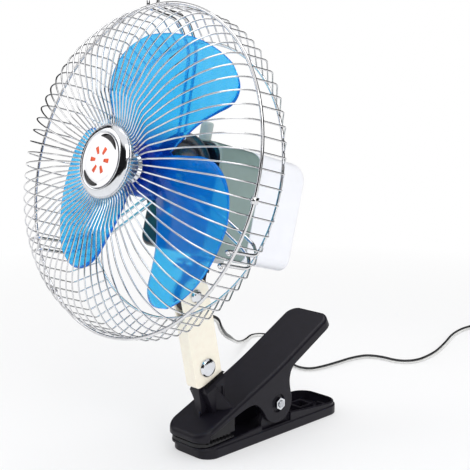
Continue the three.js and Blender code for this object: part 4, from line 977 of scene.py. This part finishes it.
def upper_jaw():
    """The upper jaw: a hollow lever with round cheeks over the pivot."""
    outer = [*rounded(LEVER_TOP, 14, 6), (61.9, 74.2), *through(LEVER_WAIST, 4),
             *arc(PIVOT_Y, PIVOT_Z, CHEEK_RADIUS, 10, -158, 42), *through(LEVER_ARCH, 4)[1:],
             (-66.4, 17.2), (-67.5, 12.9), (-75.5, 12.9)]
    obj = clip_piece(prism("x", outer, -JAW_HALF, JAW_HALF), "upper_jaw_form", "upper_jaw")
    plan = prism("z", rounded_plan(-JAW_HALF, JAW_HALF, -75.5, 80, 11, 1, 16), 0, 100)
    end = prism("z", rounded_plan(-20.3, 20.3, -200, 89.5, 0.5, 10.5, 16), -100, 100)
    shaped(obj, "INTERSECT", [plan, moved(end, Matrix.Rotation(LEVER_SLOPE, 4, "X"))], IDENTITY)
    inside = Build().add(prism("x", LEVER_HOLLOW, -HOLLOW_HALF, HOLLOW_HALF)).piece(
        "inside", None, [LOOKS["clip_plastic"]], (), IDENTITY)
    well = prism("z", rounded_plan(-HOLLOW_HALF, HOLLOW_HALF, -69.5, 59, 7, 9), 0, 100)
    shaped(inside, "INTERSECT", [well], IDENTITY)
    room = [v.co / MM for v in inside.data.vertices], [list(p.vertices) for p in inside.data.polygons]
    bpy.data.objects.remove(inside)
    shaped(obj, "DIFFERENCE", [room, pivot_rod(PIVOT_HOLE, -30, 30), pivot_rod(PIVOT_SEAT, 18.8, 22, 48),
                               pivot_rod(PIVOT_SEAT, -22, -18.8, 48)], IDENTITY)

    def share(p):
        """The whole width along the top, a quarter of it round the sides."""
        crest = 18.6 + 0.4248 * (min(p.y, -1.9) + 74.4) + 0.5318 * max(p.y + 1.9, 0)
        if p.z > crest - 1.2:
            return 1
        return 0.25 if beyond(p, 18.8, -74, 100, 9) else 0

    return edged(obj, 2.6, share, 6)


BOSS_HALF, BOSS_SLOPE, BOSS_DROP = 8.8, 0.43, 11.2


def boss():
    """The bracket's seat: a saddle with chamfered, sloping edges, a tongue between the bracket's cheeks,
    an upright web in front and a thin slanting rib a side."""
    y, z = BRACKET_Y, BRACKET_Z
    front, rear = y - 4.2, y + 13.8

    def wall_top(at):
        return z - BOSS_DROP + BOSS_SLOPE * (at - y)

    side = [(y + 3.8, 26), (front + 0.6, wall_top(front) - 6), (front, wall_top(front) - 5),
            (front, wall_top(front)), (rear, wall_top(rear)), (rear, 31)]
    obj = clip_piece(prism("x", side, -BOSS_HALF, BOSS_HALF), "boss_form", "upper_jaw")
    chamfer = moved(prism("y", [(5.6, 0), (14, 0), (14, -11.5)], -12, 18),
                    Matrix.Translation((0, y, wall_top(y))) @ Matrix.Rotation(math.atan(BOSS_SLOPE), 4, "X"))
    step = prism("x", [(-51.4, 20), (-51.4, 60), (-30, 60), (-30, 20)], 8.1, 12)
    recess = block(7.2, 12, y + 6.2, y + 11.8, 20, wall_top(y) - 4)
    rib = moved(prism("y", [(0, -16), (0, 0), (11.2, -12.8), (11.2, -16)], -0.6, 0.6),
                Matrix.Translation((8, y + 5.1, wall_top(y) - 3.6))
                @ Matrix.Rotation(math.radians(43), 4, "Z"))
    web = prism("x", [(front + 0.2, 24), (front + 0.2, 46), (y + 4, 46), (y + 4, 24)], -1.1, 1.1)
    seat = moved(block(-5.3, 5.3, -15.5, 17.5, -12.3, 10),
                 Matrix.Translation((0, y, z)) @ Matrix.Rotation(BRACKET_LEAN, 4, "X"))
    shaped(obj, "DIFFERENCE", both_sides(chamfer), IDENTITY)
    shaped(obj, "UNION", [web], IDENTITY)
    shaped(obj, "DIFFERENCE", [*both_sides(step), *both_sides(recess), seat], IDENTITY)
    tongue = prism("x", [(y - 3.6, 28), *arc(y, z, 9.2, 190, -10, 24), (y + 9, 34)], -3.2, 3.2)
    shaped(obj, "UNION", [tongue, *both_sides(rib)], IDENTITY)
    shaped(obj, "DIFFERENCE", [rod("x", 2.7, -20, 20, (0, y, z))], IDENTITY)
    for polygon in obj.data.polygons:
        polygon.use_smooth = False
    return obj


TRAY_FLOOR, BASE_TOP = 2.4, 7.4
# The upper tier's side line, as (y, z): high in front and behind, and low under the cheeks
TIER_FRONT = [(-80, 8.8), (-66, 8.8), (-39, 9.9), (-16, 11.8)]
TIER_REAR = [(17, 14.1), (38, 11.8), (64, 9.8), (80, 9.8)]
EAR = [(-15, 1), (-14.5, 14), (-11, 21), *arc(PIVOT_Y, PIVOT_Z, 9.4, 170, 0, 24), (12.4, 16), (13.5, 1)]
EAR_X = (14.2, 16.9)


def lower_jaw():
    """The tray-shaped lower jaw in two tiers, with the pivot's ears and the ribs inside."""
    base = clip_piece(prism("z", rounded_plan(-JAW_HALF, JAW_HALF, -71, 72, 11, 12), 0, BASE_TOP),
                      "lower_jaw_form", "lower_jaw", "clip_base")
    tier = clip_piece(prism("z", rounded_plan(-19.4, 19.4, -74.3, 71.2, 11, 12), 6.6, 16),
                      "lower_jaw_rim_form", "lower_jaw", "clip_base")
    rim = [(-80, 7), *rounded(TIER_FRONT, 8, 4), (-16, 7.9), (14.5, 7.9), (14.5, 14.2),
           *rounded(TIER_REAR, 12, 5), (80, 7)]
    shaped(tier, "INTERSECT", [prism("x", rim, -25, 25)], IDENTITY)
    tray = prism("z", rounded_plan(-HOLLOW_HALF, HOLLOW_HALF, -67.5, 69.4, 8, 10), TRAY_FLOOR, 30)
    for part in (base, tier):
        shaped(part, "DIFFERENCE", [tray], IDENTITY)
    near, far = EAR_X
    ears = Build().add(prism("x", EAR, near, far)).add(prism("x", EAR, -far, -near)).piece(
        "lower_jaw_ears_form", "clip_base", [LOOKS["clip_plastic"]], ["lower_jaw"], IDENTITY)
    shaped(ears, "DIFFERENCE", [pivot_rod(PIVOT_HOLE, -30, 30)], IDENTITY)
    ribs = clip_piece(block(-10.5, 3.5, 43, 58, 1, 6.4), "lower_jaw_ribs_form", "lower_jaw", "clip_base")
    shaped(ribs, "DIFFERENCE", [block(-8.5, 1.5, 45, 56, TRAY_FLOOR, 10)], IDENTITY)
    shaped(ribs, "UNION", [block(-18.7, 18.7, -38, -35.6, 1, 7), block(5, 17.8, 60, 61.8, 1, 7.6),
                           block(-1.2, 1.2, -66, -36, 1, 7)], IDENTITY)
    edged(base, 0.9, lambda p: 1 if beyond(p, 18.8, -69.4, 70.6, 10) else 0.25)
    edged(tier, 0.8, lambda p: 0 if p.z < 8.2 else 1 if beyond(p, 18.2, -72, 70, 9.6) else 0.3)
    for part in (ears, ribs):
        edged(part, 0.3, lambda p: 1)


# -------- clip springs and bolts
SPRING_RADIUS, SPRING_WIRE, SPRING_PITCH = 6.4, 0.98, 2.55
BOLT_SEAT, SHANK_RADIUS, SHANK_END = 5.3, 2.5, -11


def spring(name, body, side, leg, reach):
    """Two and a half close turns round the pivot and a straight leg to one jaw."""
    steps, per_turn = 60, 24
    points = []
    for i in range(steps + 1):
        angle = leg - side * (QUARTER + i * FULL_TURN / per_turn)
        x = side * (1.8 + SPRING_PITCH * (steps - i) / per_turn)
        points.append(Vector((x, PIVOT_Y + SPRING_RADIUS * math.cos(angle),
                              PIVOT_Z + SPRING_RADIUS * math.sin(angle))))
    along = Vector((0, math.cos(leg), math.sin(leg)))
    line = [points[0] + along * d for d in (reach, reach * 0.5, 3)] + points
    Build().add(tube(line, SPRING_WIRE, 12)).piece(
        f"{name}_form", body, [LOOKS["spring_steel"]], [name], IDENTITY)


def bolt(name, z, radius, rise):
    """A chromed carriage bolt through the bracket, with a low domed head."""
    head = turned([
        (0, SHANK_END), (SHANK_RADIUS, SHANK_END), (SHANK_RADIUS, BOLT_SEAT), (radius, BOLT_SEAT),
        (radius, BOLT_SEAT + 0.3), (radius - 0.25, BOLT_SEAT + 0.9), (radius - 1.2, BOLT_SEAT + 0.8 * rise),
        (radius * 0.55, BOLT_SEAT + 0.97 * rise), (0, BOLT_SEAT + rise)], 0.25, 64, 3)
    across = Matrix.Translation((0, 0, z)) @ Matrix.Rotation(-QUARTER, 4, "Z")
    Build().add(head, 0, across).piece(f"{name}_form", "clip_lever", [LOOKS["bolt_chrome"]], [name], BRACKET)


# -------- pieces that keep the CAD node's form
NODE_LOOKS = {
    "zinc_steel": ["jaw_pivot_bolt", "base_nut", "tilt_nut", "badge_back_plate", "badge_screw",
                   "support_screw_1", "support_screw_2", "support_screw_3", "motor_shaft", "armature_core",
                   "motor_can", "crank_disc", "crank_link", "clutch_rod"],
    "bolt_chrome": ["jaw_pivot_nut", "impeller_cap", "plug_tip", "plug_contact_left", "plug_contact_right"],
    "bearing_brass": ["front_bush", "swivel_bush", "worm"],
    "commutator_copper": ["commutator"],
    "magnet_ferrite": ["motor_magnet_right", "motor_magnet_left", "motor_brush_right", "motor_brush_left"],
    "gear_nylon": ["worm_wheel", "clutch_pinion", "crank_gear", "motor_end_cap"],
    "clip_plastic": ["switch_bezel", "switch_rocker"],
}


def keep_forms():
    """Finishes for the pieces whose CAD form is good enough, four of them cleaned and rounded."""
    dressed("upper_jaw_pad", LOOKS["pad_rubber"], 0.3, 2)
    dressed("lower_jaw_pad", LOOKS["pad_rubber"], 0.3, 2)
    dressed("bracket", LOOKS["bracket_paint"], 0.5, 3, 40)
    dressed("neck", LOOKS["clip_plastic"], 0.5, 3, 40)
    for slot, names in NODE_LOOKS.items():
        for name in names:
            materials = frame["nodes"][name].data.materials
            materials.clear()
            materials.append(LOOKS[slot])
            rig.slot(frame["nodes"][name], slot)
    for name in ("jaw_pivot_nut", "jaw_pivot_bolt", "base_nut", "tilt_nut", "switch_bezel", "switch_rocker",
                 "plug_contact_left", "plug_contact_right"):
        softened(frame["nodes"][name], 0.3, 2)


# -------- floor, backdrop and lights
# Radii between which the floor turns plain white, and its share of white within them
SHADOW_FROM, SHADOW_TO, LEAST_WHITE = 0.35, 0.75, 0.42
# The height over which the sky that chrome sees turns from dark to white
DARK_BELOW, WHITE_ABOVE = 0.69, 0.76
# Lamps as (name, place, size, power)
LAMPS = (("key", (0.9, -0.5, 1.1), 0.8, 5), ("fill", (-0.9, -0.9, 0.8), 0.9, 4),
         ("top", (-0.1, 0.4, 1.4), 0.9, 4), ("low", (1.0, -0.35, 0.3), 0.5, 1))
LAMPS_AIM = Vector((0, -0.05, 0.14))


def floor_look():
    """White sheet that takes the fan's shadow close by and meets the white backdrop further out."""
    look = bpy.data.materials.new("floor_white")
    look.use_nodes = True
    tree = look.node_tree
    sheet = tree.nodes["Principled BSDF"]
    sheet.inputs["Base Color"].default_value = (0.9, 0.9, 0.91, 1)
    sheet.inputs["Roughness"].default_value = 0.35
    sheet.inputs["Specular IOR Level"].default_value = 0.1
    place = added(tree, "ShaderNodeTexCoord")
    away = added(tree, "ShaderNodeVectorMath", operation="LENGTH")
    far = added(tree, "ShaderNodeMapRange",
                {"From Min": SHADOW_FROM, "From Max": SHADOW_TO, "To Min": LEAST_WHITE})
    share = added(tree, "ShaderNodeMath", operation="MULTIPLY")
    white = added(tree, "ShaderNodeEmission", {"Strength": 1})
    blend = added(tree, "ShaderNodeMixShader")
    tree.links.new(seen_by(tree, "Is Camera Ray", "Is Glossy Ray", "Is Transmission Ray"), share.inputs[0])
    joined(tree, (place, "Object", away, 0), (away, "Value", far, "Value"), (far, "Result", share, 1),
           (share, "Value", blend, "Fac"), (sheet, "BSDF", blend, 1), (white, "Emission", blend, 2),
           (blend, "Shader", tree.nodes["Material Output"], "Surface"))
    return look


def surroundings():
    """The floor, the lamps and a white sky, which chrome sees dark at its sides."""
    bpy.ops.mesh.primitive_plane_add(size=8, location=(0, 0, 0))
    floor = bpy.context.object
    floor.name = "floor"
    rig.stage(floor)
    floor.data.materials.append(floor_look())

    world = bpy.data.worlds.new("studio")
    bpy.context.scene.world = world
    world.use_nodes = True
    tree = world.node_tree
    tree.nodes.clear()
    white = (1, 1, 1, 1)
    plain = added(tree, "ShaderNodeBackground", {"Color": white, "Strength": 0.8})
    backdrop = added(tree, "ShaderNodeBackground", {"Color": white})
    direction = added(tree, "ShaderNodeTexCoord")
    height = added(tree, "ShaderNodeSeparateXYZ")
    overhead = added(tree, "ShaderNodeValToRGB")
    dark, light = overhead.color_ramp.elements
    dark.position, dark.color = DARK_BELOW, (0.005, 0.005, 0.006, 1)
    light.position, light.color = WHITE_ABOVE, white
    glossy = added(tree, "ShaderNodeBackground")
    first, second = added(tree, "ShaderNodeMixShader"), added(tree, "ShaderNodeMixShader")
    output = added(tree, "ShaderNodeOutputWorld")
    tree.links.new(seen_by(tree, "Is Glossy Ray"), first.inputs["Fac"])
    tree.links.new(seen_by(tree, "Is Camera Ray", "Is Transmission Ray"), second.inputs["Fac"])
    joined(tree, (direction, "Generated", height, "Vector"), (height, "Z", overhead, "Fac"),
           (overhead, "Color", glossy, "Color"), (plain, "Background", first, 1),
           (glossy, "Background", first, 2), (first, "Shader", second, 1),
           (backdrop, "Background", second, 2), (second, "Shader", output, "Surface"))

    for name, place, size, power in LAMPS:
        lamp = bpy.data.lights.new(name, "AREA")
        lamp.size, lamp.energy = size, power
        obj = placed(name, lamp)
        obj.location = place
        obj.rotation_euler = (LAMPS_AIM - Vector(place)).to_track_quat("-Z", "Y").to_euler()
    bpy.context.scene.view_settings.view_transform = "Standard"


make_camera()
LEAD, LEAD_PATH, LEAD_LENGTH = lead()
PLUG = plug_pieces()
GROMMET = grommet()
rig.cord(LEAD, exit=LEAD_PATH[0], length=LEAD_LENGTH, diameter=0.0038, far_end="plug", stiffness="limp",
        lay="coiled", path=LEAD_PATH,
        with_pieces=[*PLUG, frame["nodes"]["plug_tip"], frame["nodes"]["plug_contact_left"],
                     frame["nodes"]["plug_contact_right"], GROMMET])
guard()
support()
badge()
impeller()
housing()
upper_jaw()
boss()
lower_jaw()
spring("jaw_spring_lower", "clip_base", -1, math.radians(-60), 29)
spring("jaw_spring_upper", "clip_lever", 1, math.radians(78), 30)
bolt("base_bolt", 0, 6.8, 2.6)
bolt("tilt_bolt", 53.6, 4.8, 2.4)
keep_forms()
surroundings()

bpy.context.view_layer.update()
with open("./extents.json", "w") as record:
    json.dump({"cad": [list(v) for v in CAD_BOX], "visual": [list(v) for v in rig.bounds()]}, record)
